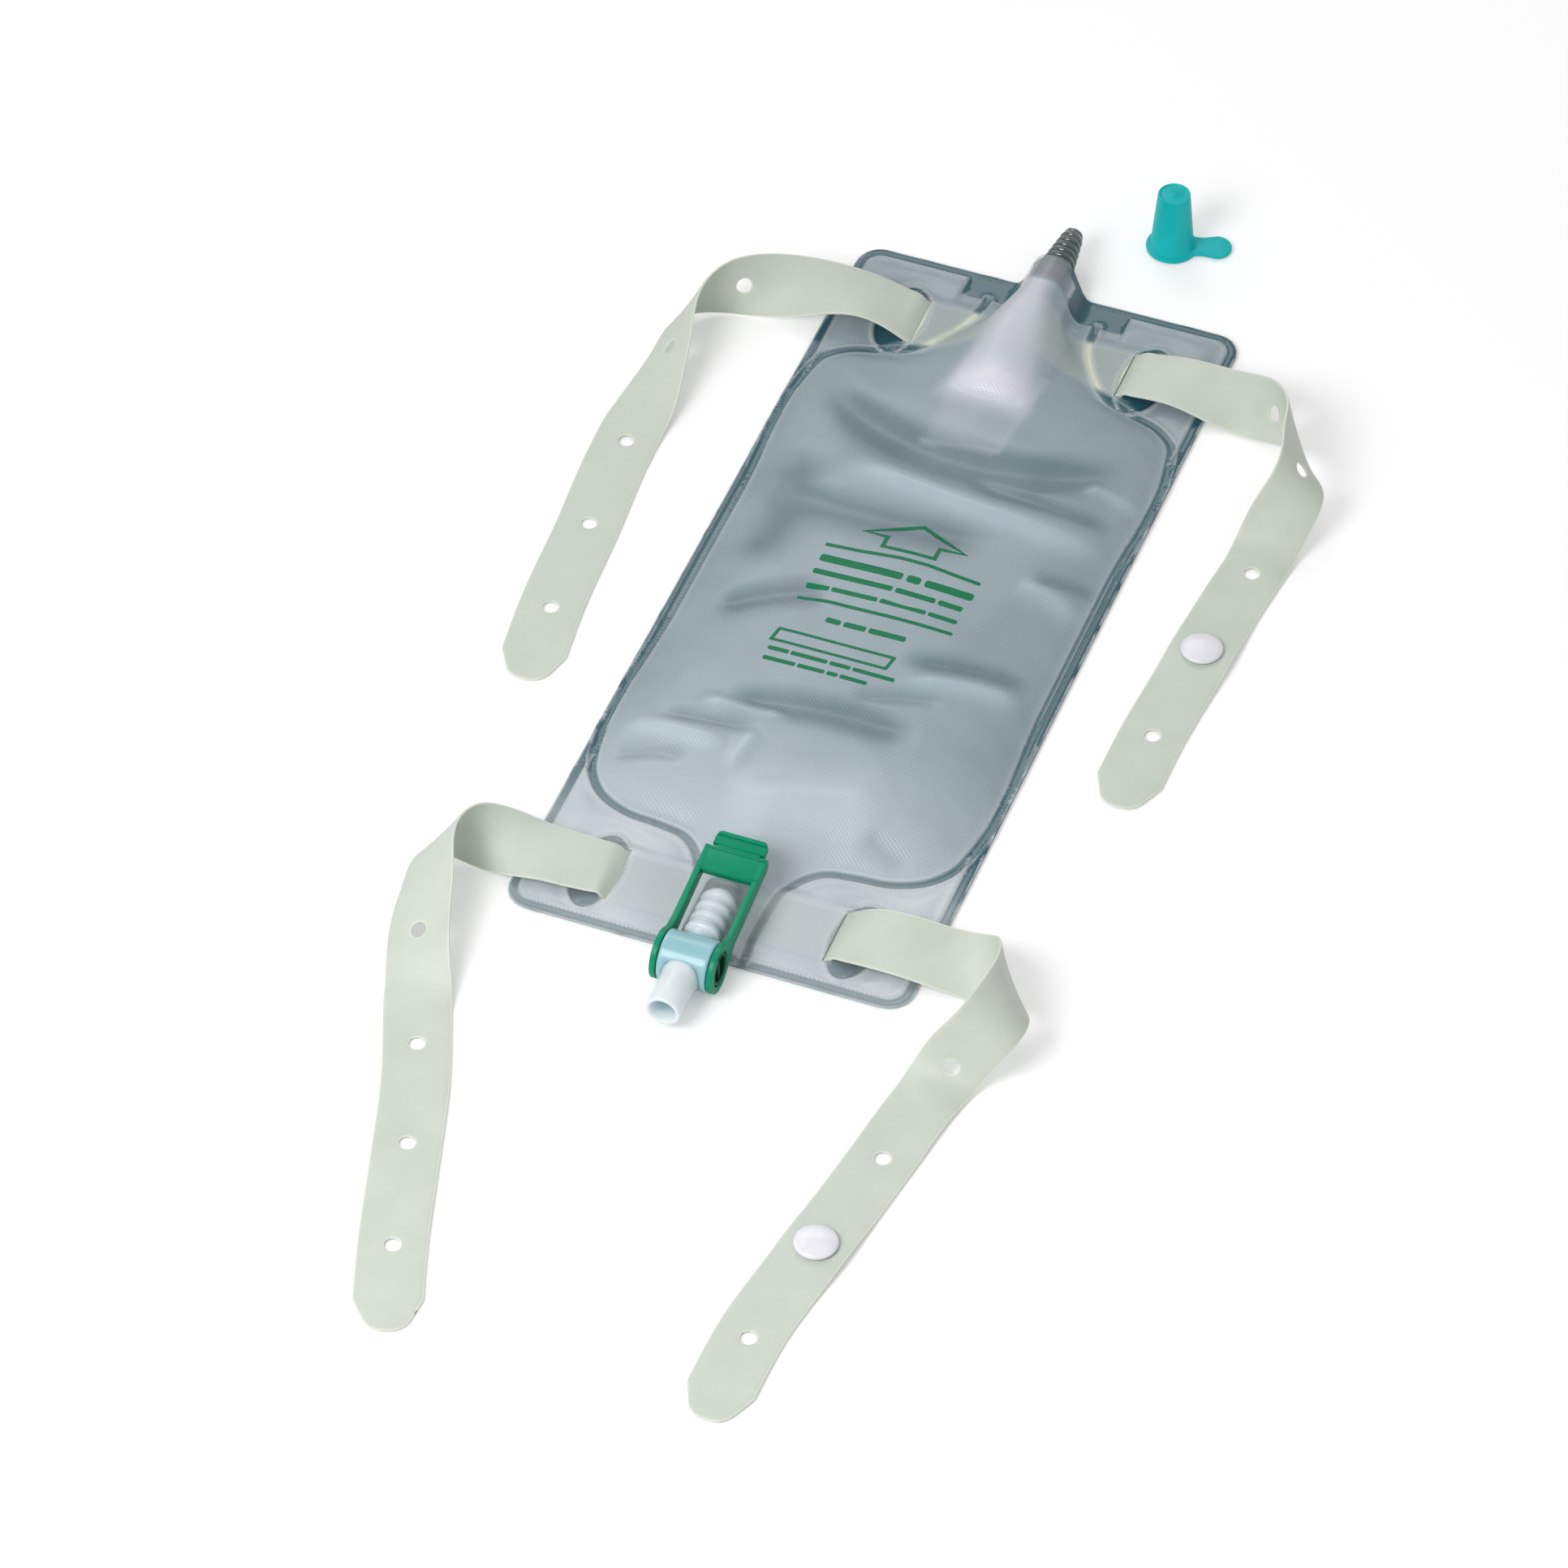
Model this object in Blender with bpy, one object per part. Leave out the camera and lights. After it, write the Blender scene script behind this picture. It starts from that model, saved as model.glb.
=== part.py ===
"""Urine drainage leg bag: welded film pouch, inlet, flip valve, two straps and a cap."""

import math

import bmesh
import bpy
import numpy as np
from mathutils import Matrix, Vector
from mathutils.geometry import delaunay_2d_cdt

# Frame
# Millimetres in this file, metres in the meshes. The bag lies on its back on z = 0,
# +Y runs to the inlet, +X to the right of someone who faces the printed front.
MM = 0.001
GAP = 0.3

# Bag films
BAG_WIDTH = 141.0
BAG_LENGTH = 341.0
CORNER_R = 9.0
FILM_T = 0.35
EDGE_WELD = 3.0
SEAM_WELD = 3.0
POUCH_RISE = 10.5
POUCH_REACH = 15.0
TAB_RISE = 1.6
TAB_REACH = 5.0
FILM_STEP = 11.5
TENT_X = (0.0, 4.0, 6.4, 7.6, 9.0, 12.0)
HALF_W = BAG_WIDTH / 2
HALF_L = BAG_LENGTH / 2
# Right half of the pouch weld, from the header down to the spout
HEADER_DEPTH = 12.0
POUCH_X = HALF_W - 3.6
UPPER_TAB = HALF_L - 50.0
LOWER_TAB = 52.0 - HALF_L
POUCH_SIDE = (
    (20.0, UPPER_TAB + 38.0), (21.6, UPPER_TAB + 26.0), (27.0, UPPER_TAB + 14.0),
    (34.5, UPPER_TAB + 5.0), (46.0, UPPER_TAB), (POUCH_X - 9.5, UPPER_TAB - 4.0),
    (POUCH_X - 2.6, UPPER_TAB - 10.5), (POUCH_X, UPPER_TAB - 20.5),
    (POUCH_X, 40.0), (POUCH_X, -30.0), (POUCH_X, LOWER_TAB + 23.5),
    (POUCH_X - 2.6, LOWER_TAB + 13.5), (POUCH_X - 9.5, LOWER_TAB + 4.5),
    (47.0, LOWER_TAB - 0.5), (34.0, LOWER_TAB - 2.0), (24.5, LOWER_TAB - 4.0),
    (17.8, LOWER_TAB - 10.5), (14.6, LOWER_TAB - 18.5), (13.6, LOWER_TAB - 32.0),
    (13.6, -HALF_L),
)
# Soft creases across the pouch: start, end, bow, half width, height
CREASES = (
    (-60.0, 91.0, 60.0, 84.0, -11.0, 7.0, -1.3),
    (-18.0, 66.0, 62.0, 70.0, -5.0, 8.0, 1.1),
    (6.0, 24.0, 62.0, 38.0, 4.0, 8.0, -0.9),
    (-62.0, -22.0, -6.0, -42.0, 5.0, 8.0, 0.9),
    (-60.0, -64.0, 34.0, -70.0, -8.0, 8.0, -1.0),
    (-38.0, -90.0, 22.0, -94.0, 6.0, 7.0, 0.9),
)

# Slits for the straps, each in a raised oval weld
SLIT_X = 39.2
SLIT_Y = (HALF_L - 32.5, 23.0 - HALF_L)
SLIT_W = 3.15
SLIT_L = 24.0
RING_X = 45.0
RING_A = 8.8
RING_B = 17.3
RING_RIDGE = 0.9
RING_RIDGE_W = 1.3

# Straps
STRAP_W = 22.2
STRAP_T = 0.9
STRAP_LIE = 0.5
HOLE_D = 5.5
HOLE_PITCH = 42.6
HOLE_END = 35.0
HOLES_UPPER = 5
HOLES_LOWER = 4
TIP_TAPER = 12.0
STRAP_STEP = 12.0
TURN_STEP = 4.6
CLIMB_X = (34.0, 36.2, 37.6, 39.2, 40.8, 42.6, 46.5)
HUMP_RISE = 1.5
HUMP_TOP = (41.6, 12.7)
HUMP_FOOT = (49.5, 16.4)
# Each row is a crosswise line of an arm that turns over on itself, measured from its
# slit: far edge, then near edge. A run is the centre line of the stretch that lies flat.
UPPER_LEFT_TURN = (
    (-11.2, 11.1, 6.6, -9.4, -11.0, 6.7),
    (-30.8, 8.0, 12.4, -26.3, -13.4, 8.9),
    (-49.9, 0.5, 17.0, -43.6, -16.7, 4.5),
    (-60.5, -3.0, 16.2, -53.6, -20.6, 4.5),
    (-68.4, -4.4, 12.6, -60.8, -24.7, 8.2),
    (-71.1, -10.9, 21.4, -71.8, -24.7, 4.1),
    (-67.8, -23.8, 23.6, -83.9, -23.1, 8.3),
    (-66.5, -32.0, 20.7, -85.6, -30.3, 9.5),
    (-67.5, -41.1, 19.3, -81.5, -34.9, 3.2),
    (-65.8, -48.1, 14.8, -81.6, -42.1, 0.5),
    (-62.5, -53.2, 7.2, -83.5, -51.0, 0.5),
    (-62.2, -62.4, 0.5, -84.3, -61.0, 0.5),
)
UPPER_LEFT_RUN = ((-72.9, -99.1), (-69.7, -136.5), (-67.1, -173.9), (-62.1, -211.1))
UPPER_RIGHT_TURN = (
    (11.0, 10.0, 6.1, 9.7, -12.1, 4.1),
    (30.2, 7.5, 11.2, 27.6, -13.5, 4.3),
    (49.2, 2.3, 14.1, 45.4, -15.5, 1.3),
    (59.7, -1.9, 16.2, 52.0, -21.2, 8.4),
    (63.0, -5.9, 22.4, 58.9, -25.0, 11.9),
    (64.1, -13.7, 30.5, 70.1, -23.8, 11.7),
    (63.6, -25.9, 31.1, 80.6, -21.6, 17.5),
    (62.2, -28.8, 19.4, 83.9, -32.2, 22.7),
    (65.5, -27.3, 10.2, 82.0, -40.3, 17.4),
    (63.1, -34.5, 5.6, 83.9, -41.6, 8.6),
    (61.5, -43.5, 3.4, 83.5, -45.0, 1.2),
    (60.7, -53.5, 0.5, 82.9, -54.6, 0.5),
)
UPPER_RIGHT_RUN = ((69.4, -89.7), (67.0, -125.3), (64.5, -161.0), (64.2, -196.6))
LOWER_LEFT_TURN = (
    (-12.4, 9.3, 6.8, -9.5, -12.5, 3.9),
    (-30.5, 4.1, 14.1, -27.2, -16.0, 5.3),
    (-48.7, -1.6, 16.9, -42.2, -22.7, 14.9),
    (-57.4, -10.4, 24.5, -53.6, -22.2, 6.0),
    (-50.9, -20.8, 26.0, -64.3, -25.7, 9.1),
    (-45.1, -27.0, 21.1, -64.1, -33.8, 11.7),
    (-42.4, -35.8, 20.0, -59.6, -37.6, 6.1),
    (-39.0, -43.1, 16.2, -58.4, -45.0, 5.5),
    (-36.5, -50.2, 11.9, -57.6, -52.9, 5.5),
    (-34.4, -55.7, 6.4, -55.7, -60.7, 3.1),
    (-32.2, -60.8, 1.5, -52.8, -69.2, 1.6),
    (-28.5, -69.6, 0.5, -48.6, -78.7, 0.5),
)
LOWER_LEFT_RUN = ((-26.1, -106.3), (-16.0, -139.3), (-6.1, -172.3), (5.3, -204.9))
LOWER_RIGHT_TURN = (
    (6.1, 11.1, 7.6, 5.7, -10.8, 4.0),
    (24.8, 10.3, 9.7, 24.9, -10.8, 3.9),
    (42.1, 12.0, 7.8, 45.2, -9.0, 1.4),
    (51.8, 14.2, 7.0, 57.0, -6.7, 1.8),
    (56.4, 11.4, 14.7, 66.4, -2.8, 0.9),
    (55.6, 2.5, 19.2, 73.8, -2.4, 7.5),
    (53.0, -5.3, 14.6, 74.6, -10.0, 13.3),
    (51.4, -11.3, 10.2, 72.6, -17.8, 10.8),
    (49.3, -17.7, 7.1, 70.4, -24.6, 5.9),
    (46.8, -24.4, 4.6, 67.7, -31.5, 1.6),
    (44.0, -31.6, 2.0, 65.0, -38.7, 0.5),
    (40.8, -41.8, 0.5, 62.3, -47.5, 0.5),
)
LOWER_RIGHT_RUN = ((45.9, -84.2), (39.9, -123.6), (33.4, -163.0), (32.4, -202.7))

# Buttons
BUTTON_D = 14.4
BUTTON_H = 2.4
BUTTON_FOOT_D = 8.4
BUTTON_FOOT_T = 1.0
BUTTON_NECK_D = HOLE_D - 2.0 * GAP

# Inlet
INLET_Z = 9.3
INLET_SLEEVE_OD = 15.6
INLET_SLEEVE_Y = (HALF_L - 13.5, HALF_L + 0.5)
CONNECTOR_FIT_D = 13.0
CONNECTOR_BORE = 5.4
CONNECTOR_Y = (INLET_SLEEVE_Y[0] - 1.4, INLET_SLEEVE_Y[1] + 20.5)
CONNECTOR_TIP_D = 7.6
CONNECTOR_RIBS = 6
CONNECTOR_TILT = 2.0

# Anti-reflux valve inside the pouch
REFLUX_Y = (INLET_SLEEVE_Y[0] - 1.0, INLET_SLEEVE_Y[0] - 77.0)
REFLUX_MOUTH_W = 30.0
REFLUX_MOUTH_H = 2.2
REFLUX_MOUTH_Z = 5.2
REFLUX_T = 0.4

# Outlet valve
VALVE_Y = -HALF_L - 10.0
VALVE_Z = 9.0
BARREL_D = 17.4
BARREL_LEN = 17.0
ROTOR_D = 11.4
ROTOR_PLAY = 0.15
NOZZLE_D = 12.0
NOZZLE_BORE = 9.0
NOZZLE_REACH = 24.0
STEM_RING_D = 13.0
STEM_CORE_D = 10.8
STEM_BORE = 7.6
STEM_FOOT = BARREL_D / 2 + 1.1
STEM_REACH = 29.0
STEM_RINGS = 4
STEM_INTO_BAG = VALVE_Y + STEM_REACH
PORT_D = 7.0
EAR_D = 17.0
EAR_T = 2.1
ARM_DEPTH = 6.0
LEVER_REACH = 50.0
PLATE_START = 33.7
PLATE_END = 43.5
PLATE_T = 2.8
TAB_W = 18.0
NECK_W = 16.4
LEVER_TILT = 8.0
GRIP_RIBS = 3
PLUG_WALL = 1.2
POCKET_DEPTH = 5.6
KEY_W = 2.2
KEY_RISE = 0.9

# Cap
CAP_AT = (30.8, HALF_L + 38.5)
CAP_TAB_DIR = 16.2
CAP_H = 25.0
CAP_TOP_D = 11.5
CAP_BASE_D = 15.4
CAP_FLANGE_D = 18.4
CAP_FLANGE_T = 1.4
CAP_WALL = 1.3
CAP_TAB_REACH = 15.8
CAP_TAB_W = 11.0


# Small maths
def smooth(t):
    """Ease from 0 at t = 0 to 1 at t = 1."""
    t = np.clip(t, 0.0, 1.0)
    return t * t * (3.0 - 2.0 * t)


def soft_max(a, b, k=0.2):
    """The higher of two surfaces, with a small blend where they cross."""
    return 0.5 * (a + b + np.sqrt((a - b) ** 2 + k * k)) - 0.5 * k


def spline(points, per_span):
    """Smooth curve through unevenly spaced points, with set steps in each span."""
    p = np.array(points, float)
    span = np.maximum(np.linalg.norm(np.diff(p, axis=0), axis=1), 1e-6)[:, None]
    slope = np.diff(p, axis=0) / span
    inner = (slope[:-1] * span[1:] + slope[1:] * span[:-1]) / (span[1:] + span[:-1])
    tangents = np.vstack([slope[:1], inner, slope[-1:]])
    out = []
    for i in range(len(p) - 1):
        for j in range(per_span):
            t = j / per_span
            ends = (2 * t**3 - 3 * t**2 + 1) * p[i] + (3 * t**2 - 2 * t**3) * p[i + 1]
            pull = (t**3 - 2 * t**2 + t) * tangents[i] + (t**3 - t**2) * tangents[i + 1]
            out.append(ends + pull * span[i])
    out.append(p[-1])
    return np.array(out)


def segment_distance(x, y, line):
    """Distance from each point to an open line of straight pieces."""
    q = np.stack([x, y], -1)[:, None, :]
    a = line[None, :-1]
    d = (line[1:] - line[:-1])[None]
    t = np.clip(((q - a) * d).sum(-1) / (d * d).sum(-1), 0.0, 1.0)
    return np.sqrt((((q - a) - t[..., None] * d) ** 2).sum(-1)).min(1)


def inside(x, y, ring):
    """Which points lie inside a closed outline."""
    a = ring
    b = np.roll(ring, -1, axis=0)
    hit = (a[None, :, 1] > y[:, None]) != (b[None, :, 1] > y[:, None])
    slope = (b[:, 0] - a[:, 0]) / np.where(b[:, 1] == a[:, 1], 1e-9, b[:, 1] - a[:, 1])
    cross = a[None, :, 0] + (y[:, None] - a[None, :, 1]) * slope[None]
    return (hit & (x[:, None] < cross)).sum(1) % 2 == 1


# Materials and objects
def material(name, colour, roughness, alpha=1.0, transmission=0.0):
    """A Principled material with the piece's own colour."""
    made = bpy.data.materials.new(name)
    made.use_nodes = True
    shader = made.node_tree.nodes["Principled BSDF"]
    shader.inputs["Base Color"].default_value = (*colour, 1.0)
    shader.inputs["Roughness"].default_value = roughness
    shader.inputs["Metallic"].default_value = 0.0
    shader.inputs["Alpha"].default_value = alpha
    shader.inputs["Transmission Weight"].default_value = transmission
    return made


def place(name, mesh, look):
    """Link a mesh as a named object with one material."""
    mesh.materials.clear()
    mesh.materials.append(look)
    for face in mesh.polygons:
        face.material_index = 0
    thing = bpy.data.objects.new(name, mesh)
    bpy.context.scene.collection.objects.link(thing)
    return thing


def solid(name, points, faces, look, smooth_angle=None):
    """A closed mesh from points in millimetres."""
    mesh = bpy.data.meshes.new(name)
    mesh.from_pydata([tuple(float(v) * MM for v in p) for p in points], [], faces)
    work = bmesh.new()
    work.from_mesh(mesh)
    bmesh.ops.recalc_face_normals(work, faces=work.faces)
    work.to_mesh(mesh)
    work.free()
    thing = place(name, mesh, look)
    if smooth_angle is not None:
        mesh.shade_smooth()
        mesh.set_sharp_from_angle(angle=math.radians(smooth_angle))
    return thing


def revolve(name, profile, look, sides=40, at=(0, 0, 0), turn=None, smooth_angle=35, start=0.0):
    """A closed profile of (radius, height) turned about Z, then placed in millimetres.

    Points at radius 0 become a single pole, so a solid end needs no hole."""
    points = []
    rows = []
    for radius, height in profile:
        if radius < 1e-6:
            rows.append([len(points)])
            points.append((0.0, 0.0, height))
        else:
            rows.append(list(range(len(points), len(points) + sides)))
            for i in range(sides):
                a = 2 * math.pi * (i + start) / sides
                points.append((radius * math.cos(a), radius * math.sin(a), height))
    faces = []
    closed = profile[0][0] > 1e-6
    pairs = list(zip(rows, rows[1:] + rows[:1])) if closed else list(zip(rows, rows[1:]))
    for low, high in pairs:
        for i in range(sides):
            j = (i + 1) % sides
            if len(low) == 1:
                faces.append((low[0], high[i], high[j]))
            elif len(high) == 1:
                faces.append((low[i], low[j], high[0]))
            else:
                faces.append((low[i], low[j], high[j], high[i]))
    thing = solid(name, points, faces, look, smooth_angle)
    spin = turn if turn is not None else Matrix.Identity(4)
    thing.data.transform(spin)
    thing.location = Vector(at) * MM
    return thing


def cutter(thing):
    """Hide a piece that only shapes another."""
    thing.hide_render = True
    thing.display_type = "WIRE"
    return thing


def shape(target, tool, operation):
    """Join a tool to a piece, cut with it or keep what they share."""
    change = target.modifiers.new(tool.name, "BOOLEAN")
    change.operation = operation
    change.solver = "EXACT"
    change.object = tool
    cutter(tool)


def prism(name, outline, low, high, look):
    """A flat outline in XY raised from one height to another."""
    n = len(outline)
    points = [(x, y, low) for x, y in outline] + [(x, y, high) for x, y in outline]
    faces = [tuple(range(n - 1, -1, -1)), tuple(range(n, 2 * n))]
    faces += [(i, (i + 1) % n, n + (i + 1) % n, n + i) for i in range(n)]
    return solid(name, points, faces, look)


def block(name, xs, ys, zs, look):
    """A box between pairs of limits."""
    outline = [(xs[0], ys[0]), (xs[1], ys[0]), (xs[1], ys[1]), (xs[0], ys[1])]
    return prism(name, outline, zs[0], zs[1], look)


def side_plate(name, outline, x0, x1, look):
    """A flat outline in YZ with its thickness along X."""
    plate = prism(name, outline, x0, x1, look)
    plate.data.transform(Matrix(((0, 0, 1, 0), (1, 0, 0, 0), (0, 1, 0, 0), (0, 0, 0, 1))))
    return plate


def mesh_flat(points, lines, keep):
    """Triangles over flat points that follow the given lines."""
    coords = [Vector((float(x), float(y))) for x, y in points]
    found, _, tris, *_ = delaunay_2d_cdt(coords, lines, [], 0, 1e-4)
    flat = np.array([(v.x, v.y) for v in found])
    tris = [tuple(t) for t in tris]
    middle = np.array([flat[list(t)].mean(0) for t in tris])
    ok = keep(middle[:, 0], middle[:, 1])
    tris = [t for t, k in zip(tris, ok) if k]
    used = sorted({i for t in tris for i in t})
    index = {old: new for new, old in enumerate(used)}
    return flat[used], [tuple(index[i] for i in t) for t in tris]


def skin(name, flat, tris, under, over, look, smooth_angle=50):
    """A closed sheet between two surfaces over the same flat triangles."""
    n = len(flat)
    points = list(under) + list(over)
    faces = [tuple(reversed(t)) for t in tris] + [tuple(i + n for i in t) for t in tris]
    edges = {}
    for t in tris:
        for a, b in zip(t, t[1:] + t[:1]):
            edges[(a, b)] = True
    for a, b in edges:
        if (b, a) not in edges:
            faces.append((a, b, b + n, a + n))
    return solid(name, points, faces, look, smooth_angle)


# Bag outline and welds
def corner_arc(cx, cy, radius, start, steps):
    """Points of a quarter circle."""
    return [
        (
            cx + radius * math.cos(math.radians(start + 90.0 * i / steps)),
            cy + radius * math.sin(math.radians(start + 90.0 * i / steps)),
        )
        for i in range(steps + 1)
    ]


def bag_outline(inset):
    """Rounded rectangle of the films, moved in from their edge."""
    hx = HALF_W - inset
    hy = HALF_L - inset
    r = CORNER_R - inset
    ring = []
    for cx, cy, start in ((1, 1, 0), (-1, 1, 90), (-1, -1, 180), (1, -1, 270)):
        ring += corner_arc(cx * (hx - r), cy * (hy - r), r, start, 5)
    return np.array(ring)


def divide(line, step, closed=False):
    """Points at an even step along a line, its own corners kept."""
    line = np.array(line, float)
    ends = np.vstack([line, line[:1]]) if closed else line
    out = []
    for a, b in zip(ends[:-1], ends[1:]):
        count = max(1, int(round(np.linalg.norm(b - a) / step)))
        out += [a + (b - a) * i / count for i in range(count)]
    if not closed:
        out.append(ends[-1])
    return np.array(out)


RIGHT_WELD = spline(POUCH_SIDE, 2)
LEFT_WELD = RIGHT_WELD * np.array([-1.0, 1.0])
POUCH_RING = np.vstack([RIGHT_WELD, LEFT_WELD[::-1]])
EDGE_RING = bag_outline(0.0)
EDGE_LINE = np.vstack([EDGE_RING, EDGE_RING[:1]])
HEADER_LINE = np.array([LEFT_WELD[0], RIGHT_WELD[0]])


def ring_distance(x, y):
    """Signed distance to the nearest oval weld, negative inside it."""
    best = np.full(len(x), 1e3)
    for sx in (-1, 1):
        for cy in SLIT_Y:
            u = (x - sx * RING_X) / RING_A
            v = (y - cy) / RING_B
            k = np.sqrt(u * u + v * v) + 1e-9
            grow = np.sqrt((u / RING_A) ** 2 + (v / RING_B) ** 2) / k + 1e-9
            best = np.minimum(best, (k - 1.0) / grow)
    return best


def crease(x, y, line):
    """One soft fold, highest along a bowed line and fading at its ends."""
    x0, y0, x1, y1, bow, width, height = line
    length = math.hypot(x1 - x0, y1 - y0)
    ux, uy = (x1 - x0) / length, (y1 - y0) / length
    t = ((x - x0) * ux + (y - y0) * uy) / length
    side = -(x - x0) * uy + (y - y0) * ux
    fade = smooth(t * 4.0) * smooth((1.0 - t) * 4.0)
    return height * fade * np.exp(-(((side - bow * 4 * t * (1 - t)) / width) ** 2))


def strap_hump(x, y):
    """Lift of the back film over the straps that pass behind it."""
    lift = np.zeros(len(x))
    for cy in SLIT_Y:
        down = (HUMP_FOOT[1] - np.abs(y - cy)) / (HUMP_FOOT[1] - HUMP_TOP[1])
        out = (HUMP_FOOT[0] - np.abs(x)) / (HUMP_FOOT[0] - HUMP_TOP[0])
        lift = np.maximum(lift, HUMP_RISE * np.clip(np.minimum(down, out), 0.0, 1.0))
    return lift


def tent(x, y, peak, half_width, power, y_full, y_none):
    """Film drawn over a round piece on the centre line."""
    along = smooth((y - y_none) / (y_full - y_none))
    return peak * along * np.exp(-((np.abs(x) / half_width) ** power))


def film_rise(x, y):
    """Height of the front film above the flat weld."""
    in_pouch = inside(x, y, POUCH_RING)
    to_weld = np.minimum(segment_distance(x, y, RIGHT_WELD), segment_distance(x, y, LEFT_WELD))
    header = segment_distance(x, y, HEADER_LINE)
    depth = np.maximum(0.0, np.minimum(to_weld, header) - SEAM_WELD / 2)
    pouch = POUCH_RISE * (1.0 - np.exp(-depth / POUCH_REACH))
    pouch += sum(crease(x, y, c) for c in CREASES) * smooth(depth / 10.0)
    ring = ring_distance(x, y)
    edge = segment_distance(x, y, EDGE_LINE) - EDGE_WELD
    room = np.maximum(0.0, np.minimum(np.minimum(to_weld - SEAM_WELD / 2, edge), ring - 1.5))
    tab = TAB_RISE * (1.0 - np.exp(-room / TAB_REACH))
    tab = np.where((np.abs(x) < 30.0) & (y > HALF_L - 18.0), 0.0, tab)
    tab += RING_RIDGE * np.exp(-((ring / RING_RIDGE_W) ** 2))
    rise = np.where(in_pouch, pouch, tab)
    inlet_peak = INLET_Z + INLET_SLEEVE_OD / 2 + GAP - FILM_T - GAP + 0.5
    seat = INLET_SLEEVE_Y[0]
    wide = 10.0 + 6.0 * smooth((seat - y) / 15.0)
    over_inlet = tent(x, y, inlet_peak, wide, 4.0, seat - 4.0, seat - 60.0)
    stem_peak = VALVE_Z + STEM_RING_D / 2 + GAP - FILM_T - GAP + 0.4
    over_stem = tent(x, y, stem_peak, 7.7, 6.0, STEM_INTO_BAG + 1.0, STEM_INTO_BAG + 13.0)
    return soft_max(rise, np.maximum(over_inlet, over_stem))


def in_slit(x, y, margin=0.0):
    """Which points fall in the cut slits."""
    hit = np.zeros(len(x), bool)
    for cy in SLIT_Y:
        across = np.abs(np.abs(x) - SLIT_X) < SLIT_W / 2 + margin
        hit |= across & (np.abs(y - cy) < SLIT_L / 2 + margin)
    return hit


def film_flat(step, with_welds):
    """Flat triangles of a film, with its slits and, on the front, its weld lines."""
    groups = [divide(EDGE_RING, step, True)]
    lines = []
    start = 0
    n = len(groups[0])
    lines += [(start + i, start + (i + 1) % n) for i in range(n)]
    count = n
    for sx in (-1, 1):
        for cy in SLIT_Y:
            hx, hy = SLIT_W / 2, SLIT_L / 2
            cx = sx * SLIT_X
            box = [(cx - hx, cy - hy), (cx + hx, cy - hy), (cx + hx, cy + hy), (cx - hx, cy + hy)]
            slit = divide(box, 12.0, True)
            n = len(slit)
            lines += [(count + i, count + (i + 1) % n) for i in range(n)]
            groups.append(slit)
            count += n
    for cy in SLIT_Y:
        frames = []
        for hx, hy in (HUMP_TOP, HUMP_FOOT):
            box = [(-hx, cy - hy), (hx, cy - hy), (hx, cy + hy), (-hx, cy + hy)]
            frame = divide(box, step if with_welds else 60.0, True)
            frames.append([count + int(np.argmin(np.hypot(*(frame - c).T))) for c in box])
            n = len(frame)
            lines += [(count + i, count + (i + 1) % n) for i in range(n)]
            groups.append(frame)
            count += n
        lines += list(zip(*frames))
    for x in TENT_X if with_welds else ():
        for sx in ((-1, 1) if x else (1,)):
            for grow, y0, y1, n in ((1.0, 1.0 - HALF_L, STEM_INTO_BAG + 15.0, 6),
                                    (1.2, HALF_L - 52.0, HALF_L - 1.0, 8)):
                ys = np.linspace(y0, y1, n)
                groups.append(np.stack([np.full(n, sx * x * grow), ys], 1))
                lines += [(count + i, count + i + 1) for i in range(n - 1)]
                count += n
    guide = [divide(bag_outline(EDGE_WELD), step, True)]
    if with_welds:
        for weld in (RIGHT_WELD, LEFT_WELD):
            tangent = np.gradient(weld, axis=0)
            tangent /= np.linalg.norm(tangent, axis=1)[:, None]
            normal = np.stack([-tangent[:, 1], tangent[:, 0]], 1)
            for side in (-1.5, 1.5):
                guide.append(divide(weld + normal * side, step))
        for sx in (-1, 1):
            for cy in SLIT_Y:
                for grow in (-1.5, 0.0, 1.5):
                    turns = np.linspace(0, 2 * math.pi, 20, endpoint=False)
                    guide.append(np.stack([
                        sx * RING_X + (RING_A + grow) * np.cos(turns),
                        cy + (RING_B + grow) * np.sin(turns),
                    ], 1))
        for x in TENT_X:
            for sx in (-1, 1):
                ends = [[sx * x, -HALF_L], [sx * x * 1.2, HALF_L]]
                guide.append(np.array(ends))
    rows = int(BAG_LENGTH / (step * 0.866))
    grid = []
    for j in range(1, rows):
        y = -HALF_L + BAG_LENGTH * j / rows
        shift = 0.5 * (j % 2)
        grid += [(x * step + shift * step, y) for x in range(-10, 10)]
    grid = np.array(grid)
    fixed = np.vstack(guide + groups[1:])
    near = np.array([np.min(np.hypot(fixed[:, 0] - x, fixed[:, 1] - y)) for x, y in grid])
    grid = grid[near > step * 0.48]
    extra = np.vstack(guide + [grid])
    hx, hy = HALF_W, HALF_L
    held = (np.abs(extra[:, 0]) < hx - 1.0) & (np.abs(extra[:, 1]) <= hy)
    held &= ~in_slit(extra[:, 0], extra[:, 1], 1.0)
    corner = (np.abs(extra[:, 0]) > hx - CORNER_R) & (np.abs(extra[:, 1]) > hy - CORNER_R)
    held &= ~corner | inside(extra[:, 0], extra[:, 1], bag_outline(2.0))
    groups.append(extra[held])
    flat = np.vstack(groups)

    def keep(x, y):
        return inside(x, y, EDGE_RING) & ~in_slit(x, y)

    return mesh_flat(flat, lines, keep)


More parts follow.
